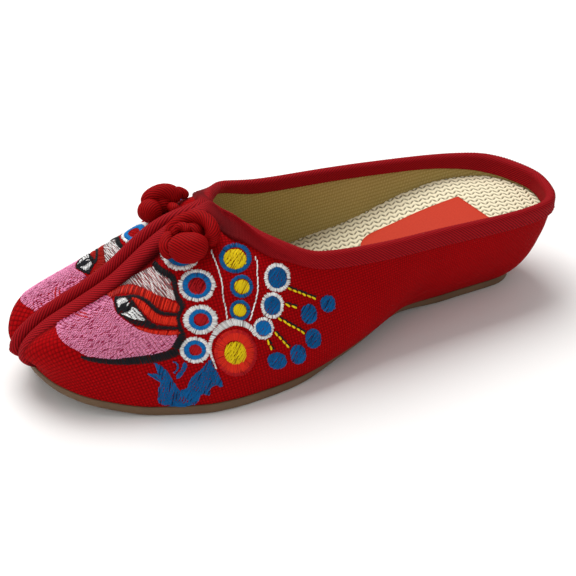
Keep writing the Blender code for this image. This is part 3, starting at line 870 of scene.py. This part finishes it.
# %% Foot bed with a zigzag straw weave
BED_STEP_MM = 0.47
BED_ACROSS_MM = 78
STRAW_LONG = 1.9
STRAW_TALL = 3.4
STRAW_BEND = 0.7
STRAW_GAP = 0.15
GAP_AT_BEND = 0.2
STRAW_CROSSING = 0.4
STRAW_TURN = math.radians(18)
STRAW_RELIEF = 0.5
STRAW_FIBRE_MM, STRAW_FIBRE = 1.43, 0.4
STRAW_TONES = 0.3, 0.95


def bed_edges():
    """The foot bed's left and right edges against the lining, at every column."""
    edges = {}
    for side in (1, -1):
        inner = (walls[side] - (WALL + GAP) * normals[side])[:, ::-1]
        line_of = []
        for line in inner:
            over = line[:, 2] - along(INSOLE_ROWS, "height", line[:, 0])
            k = max(int(np.argmax(over > 0)), 1)
            line_of.append(line[k - 1] + (line[k] - line[k - 1]) * over[k - 1] / (over[k - 1] - over[k]))
        edges[side] = np.array(line_of)
    return edges


def straw_weave(x, y):
    """Depth of the straw weave, 1 on the straws and 0 in the holes, at places in millimetres."""
    ahead = x * math.cos(STRAW_TURN) - y * math.sin(STRAW_TURN)
    beside = (x * math.sin(STRAW_TURN) + y * math.cos(STRAW_TURN)) / STRAW_TALL
    bend = np.abs(ahead / STRAW_LONG % 2 - 1) - 0.5
    level = beside + STRAW_BEND * bend
    across = np.abs(level - np.floor(level) - 0.5) * 2
    gap = smoothstep(STRAW_GAP, 1.0, across) * (1 - (1 - GAP_AT_BEND) * (2 * np.abs(bend)) ** 3)
    crossing = STRAW_CROSSING * (2 * np.abs(bend)) ** 8 * (1 - across)
    return 1 - np.clip(gap + crossing, 0, 1)


edges = bed_edges()
left, right_edge = edges[1], edges[-1]
keep = np.arange(1, COLUMNS - 1)
length = run_along(left[keep, :2])
bed_columns = int(length[-1] / BED_STEP_MM)
at = np.linspace(0, length[-1], bed_columns)
left, right_edge = (read_at(at, length, edge[keep]) for edge in (left, right_edge))
bed_lines = int(BED_ACROSS_MM / BED_STEP_MM)
share = np.linspace(0, 1, bed_lines)[None, :, None]
bed = left[:, None] * (1 - share) + right_edge[:, None] * share
bed[..., 2] = along(INSOLE_ROWS, "height", bed[..., 0])
depth = straw_weave(bed[..., 0], bed[..., 1])
bed[..., 2] += STRAW_RELIEF * (depth - 1)
insole, spot = laid_grid("straw_foot_bed", in_frame(bed), bed[..., :2])
add_values(insole, "straw", depth[spot[:, 0], spot[:, 1]])
edit(insole, (bpy.ops.mesh.flip_normals, {}))


def straw_cover():
    """Woven paper straw: dry and matt, cream strands with taupe showing in the holes."""
    made, tree, shader = new_material("woven_paper_straw", Roughness=0.82)
    depth_of = add_node(tree, "ShaderNodeAttribute", attribute_name="straw")
    where = add_node(tree, "ShaderNodeTexCoord")
    fibre = add_node(tree, NOISE, {"Vector": where.outputs["Object"], "Scale": 1 / (STRAW_FIBRE_MM * MM),
                                   "Detail": 3.0})
    tone = add_node(tree, MATH, {0: fibre, 1: STRAW_FIBRE, 2: depth_of.outputs["Fac"]},
                    operation="MULTIPLY_ADD")
    two_tone(tree, tone, STRAW_TONES, "#5E5338", "#EEE3C2", shader.inputs["Base Color"])
    add_node(tree, BUMP, {"Strength": 0.4, "Distance": 0.2 * MM, "Height": tone}, shader.inputs["Normal"])
    return made


insole.data.materials.append(straw_cover())
finish_piece(insole, ["insole"])

# %% [markdown]
# A smooth woven label lies on the heel, plain, with one rounded end. A decal in the straw's material
# would take on its bumps, so the label is its own thin sheet, laid a little above the straws.

# %% Plain label on the foot bed
LABEL_FAR_FRONT, LABEL_FAR_BACK, LABEL_NEAR_BACK = (372.5, 233.5), (458.0, 197.5), (486.0, 216.5)
LABEL_WIDE = 30.0
LABEL_END = 11.0
LABEL_END_TURN = (0.06, 1.55)
LABEL_STEPS, LABEL_END_STEPS, LABEL_LINES = 50, 20, 30
LABEL_ABOVE = 0.35
LABEL_THICK = 0.25
LABEL_THREAD_MM = 0.714
LOOK_NEAR, LOOK_FAR, HALVINGS = 0.6 * VIEW_AWAY, 1.6 * VIEW_AWAY, 40


def bed_spot(x, y):
    """The spot of the foot bed, in the tables' millimetres, that the camera sees at a pixel."""
    start, ray = (eye - TO_FRAME) / MM, pixel_ray(x, y)
    low, high = LOOK_NEAR, LOOK_FAR
    for _ in range(HALVINGS):
        middle = (low + high) / 2
        point = start + ray * middle
        low, high = (middle, high) if point[2] > along(INSOLE_ROWS, "height", point[0]) else (low, middle)
    return point[:2]


front, rear, near = (bed_spot(*pixel) for pixel in (LABEL_FAR_FRONT, LABEL_FAR_BACK, LABEL_NEAR_BACK))
ahead = unit(front - rear)
beside = unit(near - rear)
long = np.linalg.norm(front - rear) + LABEL_END
straight = long - LABEL_END
around = np.sin(np.linspace(*LABEL_END_TURN, LABEL_END_STEPS))
at = np.concatenate([np.linspace(0, straight, LABEL_STEPS), straight + LABEL_END * around])
past = np.clip((at - long + LABEL_END) / LABEL_END, 0, 1)
half = LABEL_WIDE / 2 * np.sqrt(1 - past ** 2)
across = np.linspace(-1, 1, LABEL_LINES)
flat = (rear + beside * LABEL_WIDE / 2 + at[:, None, None] * ahead
        + (half[:, None] * across)[..., None] * beside)
height = along(INSOLE_ROWS, "height", flat[..., 0]) + LABEL_ABOVE
label, _ = laid_grid("plain_label", in_frame(np.dstack([flat, height])), flat - rear)
edit(label, (bpy.ops.mesh.normals_make_consistent, {"inside": False}))


def label_satin():
    """Polyester satin label: smooth, with a fine thread line that only catches the light."""
    made, tree, shader = new_material("orange_red_satin_label", Roughness=0.6, Specular_IOR_Level=0.15)
    chart = add_node(tree, "ShaderNodeUVMap")
    thread = add_node(tree, NOISE, {"Vector": chart, "Scale": 1 / LABEL_THREAD_MM, "Detail": 5.0})
    add_node(tree, MIX, {"Factor": thread, "A": linear("#B0260E"), "B": linear("#C83A1C")},
             shader.inputs["Base Color"], data_type="RGBA")
    return made


label.data.materials.append(label_satin())
thicken(label, LABEL_THICK, 1.0)
finish_piece(label)
print("label mm:", round(float(long), 1), "by", LABEL_WIDE)

# %% [markdown]
# The outsole is a thin moulded rubber sole that curls up at the toe and lifts under the arch. The
# frame's facets would show along its edge, so its section is swept again on the fine columns, with
# a rounded lower edge and shallow cross grooves underneath.

# %% Outsole swept on the fine columns
SOLE_ROUND = 1.2
GROOVE_DEEP = 0.5
GROOVE_EVERY = 4
GROOVES_AFTER, GROOVES_SHORT_OF_END = 6, 8
SOLE_INSIDE = 3.0
SOLE_BEAD = [(-0.3, 0.0), (0.0, 0.3), (0.0, 0.5), (-0.1, 0.65), (0.0, 0.8)]
ROUND_POINTS, UNDER_POINTS = 6, 12
DUST_MM, GRAIN_MM = 11.1, 0.667


def sole_section(i):
    """One ring of the sole: the left edge down, the underside across, and the right edge up."""
    u = ROW_NUMBERS[i]
    out = outward(u)
    station, width = section_column("base_s", u), section_column("base_w", u)
    under, lip, taper = (float(along(SOLE_ROWS, column, station)) for column in ("under", "lip", "taper"))
    top = float(sole_top(station))
    rounding = [(lip - taper * (1 - math.cos(a)), under + SOLE_ROUND * (1 - math.sin(a)))
                for a in np.linspace(0, math.pi / 2, ROUND_POINTS)]
    edge = [(-SOLE_INSIDE, top)] + [(lip + past, top - down) for past, down in SOLE_BEAD] + rounding
    on_axis = i in (0, COLUMNS - 1)
    ring = []
    for side in (1, -1):
        wide = [0.0 if on_axis else max(width + past * out[1], 0.0) for past, _ in edge]
        ring.append(place(side, np.array([station + past * out[0] for past, _ in edge]), np.array(wide),
                          np.array([height for _, height in edge])))
    share = np.linspace(0, 1, UNDER_POINTS)[1:-1, None]
    below = ring[0][-1] * (1 - share) + ring[1][-1] * share
    if i % GROOVE_EVERY < GROOVE_EVERY // 2 and GROOVES_AFTER < i < COLUMNS - GROOVES_SHORT_OF_END:
        below[1:-1, 2] += GROOVE_DEEP
    return np.concatenate([ring[0], below, ring[1][::-1]])


sole, _ = laid_grid("rubber_outsole", in_frame(np.array([sole_section(i) for i in range(COLUMNS)])))
weld(sole, within=0.01 * MM)


def sole_rubber():
    """Moulded natural rubber: dull, with a fine mould grain and a little dust."""
    made, tree, shader = new_material("tan_moulded_rubber", Roughness=0.62)
    where = add_node(tree, "ShaderNodeTexCoord")
    spot_of = where.outputs["Object"]
    dust = add_node(tree, NOISE, {"Vector": spot_of, "Scale": 1 / (DUST_MM * MM), "Detail": 6.0})
    grain = add_node(tree, NOISE, {"Vector": spot_of, "Scale": 1 / (GRAIN_MM * MM), "Detail": 2.0})
    add_node(tree, MIX, {"Factor": dust, "A": linear("#533A22"), "B": linear("#705436")},
             shader.inputs["Base Color"], data_type="RGBA")
    add_node(tree, BUMP, {"Strength": 0.3, "Distance": 0.1 * MM, "Height": grain}, shader.inputs["Normal"])
    return made


sole.data.materials.append(sole_rubber())
finish_piece(sole, ["outsole"])

# %% [markdown]
# The front carries machine embroidery: a painted stage face in profile with beads and feathers in
# its headdress, mirrored on both halves. An image texture would be flat, so every stitch is a small
# thread of its own. The motif's outlines are a handful of spots read from the photograph, filled
# with rows of stitches there, and every stitch end is carried along the camera's ray to the canvas.

# %% From the photograph to the canvas
near_faces = [[i * LINES + k, (i + 1) * LINES + k, (i + 1) * LINES + k + 1, i * LINES + k + 1]
              for i in range(COLUMNS - 1) for k in range(LINES - 1)]
near_half = BVHTree.FromPolygons(skin[1].reshape(-1, 3).tolist(), near_faces)


def canvas_spot(x, y):
    """The (column, line) of the near half's grid that the camera sees at a spot of the photograph."""
    ray = Vector(pixel_ray(x, y))
    hit, _, face, _ = near_half.ray_cast(Vector(eye), ray)
    if hit is None:
        hit, _, face, _ = near_half.find_nearest(Vector(eye) + ray * VIEW_AWAY * MM)
    i, k = divmod(face, LINES - 1)
    corner = skin[1][i, k]
    sides = np.stack([skin[1][i + 1, k] - corner, skin[1][i, k + 1] - corner], axis=1)
    share = np.linalg.lstsq(sides, np.array(hit) - corner, rcond=None)[0]
    return np.clip(share, 0, 1) + (i, k)


# %% Stitches laid in the photograph's plane
THREADS = ("pink", "white", "black", "scarlet", "crimson", "blue", "deep_blue", "yellow")
stitches = {thread: [] for thread in THREADS}
HAND_SEED = 26
hand = np.random.default_rng(HAND_SEED)
WANDER_PX = 0.2
BRICK_SHIFT, ONE_STITCH, SHORTEST = 0.37, 1.3, 2
DISC_DEGREES, DISC_POINTS = 62, 40
RAGGED = 0.022
EVEN_SHADE, DARK_SHADE = (0.82, 0.13), (0.1, 0.1)


def lay(thread, start, end, width, lift, dark_share=0.0):
    """One stitch between two spots, with the unevenness of a worn machine stitch."""
    wander = hand.normal(0, WANDER_PX, (2, 2))
    shade = hand.normal(*(DARK_SHADE if hand.random() < dark_share else EVEN_SHADE))
    ends = np.stack([start, end]) + wander
    stitches[thread].append((*ends.ravel(), width, lift, shade))


def closed_line(points):
    return smooth_line(points, closed=True, per=6)


def fill(thread, outline, degrees, spacing=1.05, longest=9.0, lift=0.12, dark_share=0.0, thick=0.98):
    """Rows of stitches across an outline, at an angle to the picture's level, broken like brickwork."""
    turn = math.radians(degrees)
    along_row = np.array([math.cos(turn), -math.sin(turn)])
    over_row = np.array([math.sin(turn), math.cos(turn)])
    a = np.array(outline, float)
    b = np.roll(a, -1, 0)
    level_a, level_b = a @ over_row, b @ over_row
    for number, level in enumerate(np.arange(level_a.min() + spacing / 2, level_a.max(), spacing)):
        crossed = (level_a <= level) != (level_b <= level)
        share = (level - level_a[crossed]) / (level_b[crossed] - level_a[crossed])
        cuts = np.sort((a[crossed] + share[:, None] * (b[crossed] - a[crossed])) @ along_row)
        for first, last in zip(cuts[::2], cuts[1::2]):
            breaks = [first, last]
            if last - first > longest * ONE_STITCH:
                phase = first + longest * ((number * BRICK_SHIFT) % 1.0)
                inner = np.arange(phase, last, longest)
                breaks = [first] + [p for p in inner if first + SHORTEST < p < last - SHORTEST] + [last]
            for p, q in zip(breaks[:-1], breaks[1:]):
                start, end = (cut * along_row + level * over_row for cut in (p, q))
                lay(thread, start, end, spacing * thick, lift, dark_share)


def bead(thread, x, y, across, high, hollow, spacing=1.1, lift=0.2):
    """A ring of stitches pointing at its middle, or with no hollow a disc of level stitches."""
    around = np.linspace(0, 2 * math.pi, DISC_POINTS, endpoint=False)
    if not hollow:
        outline = np.stack([x + across * np.cos(around), y + high * np.sin(around)], axis=1)
        fill(thread, outline, DISC_DEGREES, spacing, longest=12.0, lift=lift, dark_share=0.05, thick=1.15)
        return
    count = int(math.pi * (across + high) / spacing)
    for a in np.linspace(0, 2 * math.pi, count, endpoint=False):
        arm = np.array([across * math.cos(a), high * math.sin(a)])
        ragged = RAGGED if thread == "white" else RAGGED / 4
        tip = arm * (1 + hand.normal(0, ragged))
        lay(thread, (x, y) + arm * hollow, (x, y) + tip, spacing, lift, dark_share=0.03)


def band(thread, points, spacing=1.1, lift=0.28, slant=0.25, dark_share=0.0):
    """Satin stitches across a line whose points are (x, y, width)."""
    line = smooth_line(points, per=12)
    run = run_along(line[:, :2])
    at = np.arange(spacing / 2, run[-1], spacing)
    spots = read_at(at, run, line)
    ahead = unit(np.gradient(spots[:, :2], axis=0))
    for (x, y, width), (ax, ay) in zip(spots, ahead):
        half = (np.array([-ay, ax]) + slant * np.array([ax, ay])) * width / 2
        lay(thread, (x, y) - half, (x, y) + half, spacing, lift, dark_share)


def outline_stitch(thread, points, dash=6.0, width=2.0, lift=0.3, twist=0.0, filled=1.08, aside=0.0):
    """Stitches one after another along a line, each turned a little as in a twisted strand."""
    line = smooth_line(points)
    run = run_along(line)
    count = max(int(round(run[-1] / dash)), 1)
    for first in np.arange(count) * run[-1] / count:
        ends = read_at([first, first + run[-1] / count * filled], run, line)
        step = ends[1] - ends[0]
        over = np.array([step[1], -step[0]])
        shift = aside * unit(over)
        lay(thread, ends[0] + twist * over + shift, ends[1] - twist * over + shift, width, lift)


# %% The face: cheek, forehead, lids and eye
CHEEK = [(57, 325), (62, 318), (72, 311), (84, 307), (96, 301), (107, 296), (113, 300), (115.5, 310.5),
         (122, 318), (132, 325), (141, 330.5), (154, 334), (168, 335.5), (177, 335.5), (173, 345),
         (168, 350), (154.5, 354), (132, 357), (110, 359.5), (93, 357), (86, 356), (76.5, 350.5),
         (65.5, 344), (59, 337), (56.5, 330.5)]
FOREHEAD = [(110, 288), (121, 282), (135.5, 274.5), (153, 266.5), (158, 271.5), (170, 279.5),
            (171, 284), (174.5, 294), (175.5, 300.5), (169, 298.5), (159, 296), (151, 291.5),
            (141, 287), (130, 284.5), (119, 286.5)]
NOSE_LINE = [(80, 306.5, 3), (88, 303.5, 4.5), (96, 300, 5), (104.5, 294.5, 4.5), (111, 289, 3.5),
             (121, 284, 3)]
MOUTH = [[(71, 313.5), (79, 316), (88, 318)], [(79, 312.5), (87, 314.5)]]
UPPER_LID = [(108, 294), (112, 289.5), (121, 286), (132, 285), (143, 288), (154.5, 293), (165.5, 298),
             (176.5, 303), (180.5, 307), (179, 312), (169, 311.5), (160, 309.5), (152, 304),
             (143, 298.5), (132, 294.5), (121, 294.5), (115.5, 296), (110, 298.5)]
LOWER_LID = [(132, 298.5), (138, 298), (146.5, 304), (154.5, 311.5), (163.5, 316), (176.5, 317),
             (176.5, 325.5), (165.5, 325), (154.5, 322.5), (146.5, 316), (140, 308.5)]
LID_CREASE = [(128, 296, 3), (140, 297.5, 4), (148, 302, 4.5), (155.5, 309.5, 4.5), (163.5, 313.5, 4),
              (177, 314.5, 3)]
EYE_RIM = [(114.5, 301.5), (116.5, 296.5), (128, 295.5), (132, 298.5), (139, 308.5), (146.5, 317),
           (154.5, 323.5), (165.5, 326), (176.5, 326.5), (178, 329.5), (165.5, 330), (152, 329),
           (141, 326.5), (132, 324), (124.5, 318.5), (118, 314), (115, 307)]
EYE_WHITES = [[(116.5, 300), (121, 298), (126.5, 298.5), (128, 302), (122, 305), (119, 308.5)],
              [(131, 307), (138, 310.5), (145.5, 319.5), (143, 321), (134.5, 319.5), (125.5, 316),
               (121, 314), (128, 311.5)]]
IRIS = (126.5, 307.5, 6.0, 4.8)
GLINTS = [[(127.5, 307.5), (129.5, 303)]]
CHEEK_STRIPE = [(134.5, 326.5), (143.5, 328), (154.5, 330), (168, 330.5), (179, 330.5), (179.5, 334),
                (165.5, 335.5), (154.5, 334.5), (143.5, 331.5)]
JAW_LINE = [(81, 357, 2.5), (90, 359.3, 4.5), (104.5, 361, 6), (117, 361.6, 7), (133, 360.6, 8.5),
            (150, 358.7, 9.5), (166.5, 355.4, 9.5), (178, 351, 9)]
HAIR_LINE = [(154, 263, 6), (161, 271, 7.5), (171, 276, 7), (174.5, 282, 6), (175.5, 292, 5),
             (179, 300.5, 6), (183, 305, 6), (180, 312, 4.5), (178, 320.5, 4), (181, 329.5, 5),
             (182, 337, 9), (179, 343, 10), (175.5, 348.5, 9)]

fill("pink", closed_line(CHEEK), degrees=34, spacing=1.25, longest=3.8, lift=0.16, dark_share=0.05,
     thick=0.78)
fill("white", closed_line(FOREHEAD), degrees=-52, spacing=1.35, longest=8.0, dark_share=0.34, thick=0.68)
band("white", NOSE_LINE)
for line in MOUTH:
    outline_stitch("crimson", line, dash=5.0, width=1.6, lift=0.3)
# The upper lid gets the most dark stitches: painted shade beside the near welt.
for lid, darker in ((UPPER_LID, 0.5), (LOWER_LID, 0.15), (CHEEK_STRIPE, 0.15)):
    fill("scarlet", closed_line(lid), degrees=72, spacing=1.1, longest=14.0, lift=0.2, dark_share=darker)
band("black", LID_CREASE)
fill("black", closed_line(EYE_RIM), degrees=55, spacing=1.1, longest=9.0, lift=0.22)
for white in EYE_WHITES:
    fill("white", closed_line(white), degrees=-30, spacing=1.1, longest=9.0, lift=0.34, dark_share=0.06)
bead("black", *IRIS, 0, spacing=1.0, lift=0.44)
for glint in GLINTS:
    outline_stitch("white", glint, dash=6.0, width=1.3, lift=0.62)
band("black", JAW_LINE)
band("black", HAIR_LINE)

# %% The headdress: beads, arcs, strands and feathers
Bead = namedtuple("Bead", "thread x y across high hollow")
BEADS = [
    Bead("white", 181, 251, 20.5, 20, 0.76), Bead("blue", 181, 251, 16, 15.5, 0.55),
    Bead("white", 197, 285.5, 18.7, 16.5, 0.76), Bead("blue", 197, 285.5, 14.8, 13.6, 0.58),
    Bead("crimson", 197.3, 286.7, 9.2, 8.4, 0),
    Bead("white", 200.5, 319.7, 17.4, 15, 0.66), Bead("blue", 200.5, 319.7, 12.1, 11.2, 0.56),
    Bead("crimson", 202, 319.5, 7.4, 6.3, 0),
    Bead("white", 195, 350, 15.6, 13.4, 0.7), Bead("blue", 195, 350, 11.4, 10.2, 0.52),
    Bead("crimson", 195.9, 349.8, 6.1, 5.6, 0),
    Bead("deep_blue", 235.3, 258.2, 16.5, 15.3, 0.7), Bead("yellow", 235, 259.2, 11.6, 10.4, 0),
    Bead("deep_blue", 241.5, 286.4, 11.8, 11.8, 0.66), Bead("yellow", 242, 286.8, 7.9, 7.5, 0),
    Bead("deep_blue", 240, 310.2, 10.5, 10.5, 0.64), Bead("yellow", 239.7, 310.2, 6.7, 6.7, 0),
    Bead("crimson", 236, 353, 21.4, 23.6, 0.8), Bead("scarlet", 234.6, 351.8, 20.6, 22.8, 0.48),
    Bead("yellow", 235.4, 353, 11.2, 11.6, 0),
    Bead("white", 277.3, 277.6, 13.4, 14.7, 0.7), Bead("deep_blue", 277.3, 277.6, 9.5, 11, 0),
    Bead("white", 272.3, 305.6, 11.6, 13.4, 0.7), Bead("deep_blue", 272.3, 305.4, 8.2, 9.8, 0),
    Bead("white", 263.5, 328.3, 10.4, 11.3, 0.7), Bead("blue", 263.5, 328, 8.1, 7.9, 0),
    Bead("deep_blue", 327.8, 303.7, 7.8, 8.8, 0), Bead("deep_blue", 308.8, 313.9, 8.2, 10.3, 0),
    Bead("deep_blue", 313, 338.5, 8.1, 10.2, 0), Bead("deep_blue", 298, 354.3, 8.1, 10, 0),
    Bead("deep_blue", 277, 360.6, 9.7, 8.8, 0),
]
LEFT_LINE = [(211, 250), (217.5, 267), (222, 282), (223, 295), (225.5, 308), (227, 319)]
RIGHT_LINE = [(255, 256), (257.5, 265), (257, 274), (258, 284), (257, 295), (253, 310), (249.5, 321)]
COLLAR_ARC = [(216.5, 369, 1.5), (211.5, 356, 2.5), (210, 346, 3.5), (212.5, 337.5, 5), (219, 329, 7),
              (229, 323, 8), (236.5, 322, 7.5), (246.5, 325, 6), (252.5, 330, 5), (255, 336, 2)]
STRANDS = [[(287.5, 288), (316.5, 299)], [(285, 304), (297.5, 308)], [(278, 318), (305, 333.5)],
           [(274.5, 332), (289.5, 348)], [(267, 340), (272.5, 351)]]
FEATHER_BODY = [(154.5, 362.5), (160, 365), (166.5, 370), (171.5, 377.5), (176, 385), (181, 390.5),
                (190, 391), (199, 392), (198.5, 401), (192.5, 406), (182.5, 407), (174, 405.5),
                (162.5, 405), (158, 401), (158.5, 390), (160, 382.5), (158, 375), (156, 368)]
FEATHER_TIP = [(147, 374), (153.5, 373.5), (160, 376), (162, 382), (156, 379.5)]
FEATHER_BARB = [(186.5, 362.5), (187, 367.5), (182.5, 375), (177.5, 379), (176, 376), (181, 369),
                (183.5, 363.5)]
FEATHER_CURL = [(173, 361.5, 1.5), (177, 363.5, 2.2), (177.5, 368.5, 2.2), (174, 373, 2)]
FEATHER_LEAF = [(181, 391), (186.5, 388), (190, 379), (197.5, 372), (207.5, 362.5), (211, 359.5),
                (214, 367), (217.5, 372.5), (222.5, 382.5), (221, 387), (215, 385.5), (210.5, 389),
                (209.5, 395.5), (202.5, 394.5), (198, 400), (190, 402)]

for b in BEADS:
    bead(*b, lift=0.2 if b.hollow else 0.32)
for line in (LEFT_LINE, RIGHT_LINE):
    outline_stitch("white", line, dash=4.2, width=1.5, twist=0.1)
band("white", COLLAR_ARC, dark_share=0.08)
for strand in STRANDS:
    outline_stitch("black", strand, dash=5.4, width=2.3, lift=0.2, twist=-0.1, filled=0.95, aside=1.7)
    outline_stitch("yellow", strand, dash=5.4, width=2.3, lift=0.35, twist=0.1, filled=0.86)
for outline, degrees in ((FEATHER_BODY, 80), (FEATHER_TIP, 150), (FEATHER_BARB, 50)):
    fill("deep_blue", closed_line(outline), degrees, longest=9.0, lift=0.18, dark_share=0.08, thick=1.15)
fill("deep_blue", closed_line(FEATHER_LEAF), degrees=62, longest=9.0, lift=0.24, dark_share=0.08, thick=1.15)
band("deep_blue", FEATHER_CURL)
print("stitches on each half:", {thread: len(rows) for thread, rows in stitches.items()})


# %% One stitch, modelled once
STITCH_RINGS = np.array([(0.0, 0.3), (0.12, 0.85), (0.5, 1.0), (0.88, 0.85), (1.0, 0.3)])
STITCH_CORNERS = np.radians((0, 90, 180, 270, 360))
STITCH_TOP, STITCH_UNDER = 0.85, 0.4
ONE_SPOT = 0.001
tube = np.array([[(t, size * math.cos(a),
                   size * math.sin(a) * (STITCH_TOP if math.sin(a) > 0 else STITCH_UNDER))
                  for a in STITCH_CORNERS] for t, size in STITCH_RINGS])
model, _ = laid_grid("stitch_model", tube)
weld(model, ONE_SPOT, (bpy.ops.mesh.fill_holes, {"sides": 4}))
STITCH_POINTS = np.array([v.co for v in model.data.vertices])
STITCH_FACES = np.array([list(face.vertices) for face in model.data.polygons])
bpy.data.objects.remove(model)


# %% Thread materials and the stitched pieces
FAR_TO_RIDGE_LINES, FAR_BACK_LINES = 3.2, 5.2
FAR_TO_TOE_MM, FAR_BACK_TOE_MM = 3.4, 6.2
FAR_FROM_RUN, FAR_OVER_RUN = 232.0, 28.0
# Painted shade on the stitches: the far half's scarlet is darkened, and stitches beside the near welt darken
# like the canvas there.
FAR_PAINTED_SHADE = {"scarlet": 0.75}
STITCH_SHADE = 0.8
THINNEST, THICKEST = 0.12 * MM, 0.5 * MM
END_LIFT = 0.35
NO_LENGTH = 1e-9
ridge_run = run_along(skin[-1][:, 0]) / MM


def far_half(chart):
    """The mirrored motif sits nearer the toe on the far half, and its eye nearer the ridge."""
    run = np.interp(chart[:, 0], np.arange(COLUMNS), ridge_run)
    behind = np.clip((FAR_FROM_RUN - run) / FAR_OVER_RUN, 0, 1)
    column = np.interp(run + FAR_TO_TOE_MM + FAR_BACK_TOE_MM * behind, ridge_run, np.arange(COLUMNS))
    line = chart[:, 1] - FAR_TO_RIDGE_LINES + FAR_BACK_LINES * behind
    return np.stack([column, np.clip(line, 0, LINES - 1)], axis=1)


def thread_material(name, light, dark):
    """Rayon embroidery thread: a silky gloss along each stitch, no two stitches quite alike, and darker where
    shade is painted on.
    """
    made, tree, shader = new_material(name + "_rayon_thread", Roughness=0.5, Specular_IOR_Level=0.12)
    shade = add_node(tree, "ShaderNodeAttribute", attribute_name="shade")
    add_node(tree, MIX, {"Factor": shade.outputs["Fac"], "A": linear(dark), "B": linear(light)},
             shader.inputs["Base Color"], data_type="RGBA")
    return made


THREAD_COLOURS = {
    "pink": ("#FFA6CE", "#A83262"), "white": ("#FFFFFD", "#6A5A5A"), "black": ("#222226", "#08080A"),
    "scarlet": ("#EE3420", "#9C130C"), "crimson": ("#C41A22", "#7E080E"), "blue": ("#107CC4", "#0A4680"),
    "deep_blue": ("#0A66A6", "#05305A"), "yellow": ("#F6DA18", "#A47E08"),
}


def stitched_piece(thread):
    """All stitches of one thread, on both halves, as one mesh of copies of the model stitch."""
    rows = np.array(stitches[thread])
    start, end = rows[:, :2], rows[:, 2:4]
    width, lift, shade = rows[:, 4:].T
    shade = np.clip(shade, 0, 1)
    step = unit(end - start + NO_LENGTH)
    beside = (start + end) / 2 + np.stack([-step[:, 1], step[:, 0]], 1) * width[:, None]
    charts = [np.array([canvas_spot(*p) for p in spots]) for spots in (start, (start + end) / 2, end, beside)]
    middle, next_row = (on_grid(skin[1], chart) for chart in charts[1::2])
    half_wide = np.clip(0.5 * np.linalg.norm(next_row - middle, axis=1), THINNEST, THICKEST)
    t, across, high = STITCH_POINTS.T
    points = []
    for side in (1, -1):
        spots = [chart if side > 0 else far_half(chart) for chart in charts[:3]]
        a, m, c = (on_grid(skin[side], chart) for chart in spots)
        out = unit(on_grid(normals[side], spots[1]))
        ahead = unit(c - a + NO_LENGTH)
        wide = unit(np.cross(out, ahead))
        control = 2 * m - (a + c) / 2
        line = ((1 - t)[None, :, None] ** 2 * a[:, None] + (2 * t * (1 - t))[None, :, None] * control[:, None]
                + (t * t)[None, :, None] * c[:, None])
        arch = END_LIFT + (1 - END_LIFT) * np.sin(math.pi * t)
        rise = lift[:, None] * MM * arch[None] + half_wide[:, None] * high[None]
        aside = half_wide[:, None] * across[None]
        points.append(line + aside[..., None] * wide[:, None] + rise[..., None] * out[:, None])
    points = np.concatenate(points)
    faces = (STITCH_FACES[None] + len(STITCH_POINTS) * np.arange(len(points))[:, None, None]).reshape(-1, 4)
    # Painted shade: stitches beside the near welt are darkened, and the far half's scarlet more so.
    beside_welt = on_grid(welt_shade(1)[..., None], charts[1])[:, 0]
    near_shade, far_shade = shade * (1 - STITCH_SHADE * beside_welt), shade - FAR_PAINTED_SHADE.get(thread, 0.0)
    mesh = bpy.data.meshes.new("embroidery_" + thread)
    mesh.from_pydata(points.reshape(-1, 3), [], faces)
    piece = bpy.data.objects.new("embroidery_" + thread, mesh)
    add_values(piece, "shade", np.repeat(np.append(near_shade, far_shade), len(STITCH_POINTS)))
    bpy.context.collection.objects.link(piece)
    mesh.materials.append(thread_material(thread, *THREAD_COLOURS[thread]))
    finish_piece(piece)


for thread in THREADS:
    stitched_piece(thread)

# %% [markdown]
# The studio is a pale floor and soft light. In the photograph the tops of the welts and the far
# knot are bright and what faces the camera is darker, so the large key light hangs above and behind
# the shoe. Two weaker ones fill from the toe and from the front, and a pale world lifts the rest.

# %% Floor and lights
FLOOR_M = 6.0
WORLD_STRENGTH = 0.38
bpy.ops.object.select_all(action="DESELECT")
bpy.ops.mesh.primitive_plane_add(size=FLOOR_M)
floor = bpy.context.object
floor.name = "studio_floor"
floor_paper = new_material("pale_studio_paper", Roughness=0.9, Base_Color=linear("#F7F6F4"))[0]
floor.data.materials.append(floor_paper)

Lamp = namedtuple("Lamp", "name place size watts")
LAMPS = [
    Lamp("key_above_behind", (0.05, -0.5, 1.08), 0.9, 14.5),
    Lamp("fill_toe_side", (1.0, 0.5, 0.45), 0.9, 2.6),
    Lamp("fill_front", (-0.2, 1.1, 0.5), 0.9, 1.6),
]
for lamp in LAMPS:
    bpy.ops.object.light_add(type="AREA", location=lamp.place)
    light = bpy.context.object
    light.name = lamp.name
    light.data.size = lamp.size
    light.data.energy = lamp.watts
    light.rotation_euler = (-Vector(lamp.place)).to_track_quat("-Z", "Y").to_euler()
world = bpy.data.worlds.new("soft_studio")
world.use_nodes = True
world.node_tree.nodes["Background"].inputs["Color"].default_value = (1, 1, 1, 1)
world.node_tree.nodes["Background"].inputs["Strength"].default_value = WORLD_STRENGTH
bpy.context.scene.world = world
bpy.context.scene.view_settings.view_transform = "Standard"
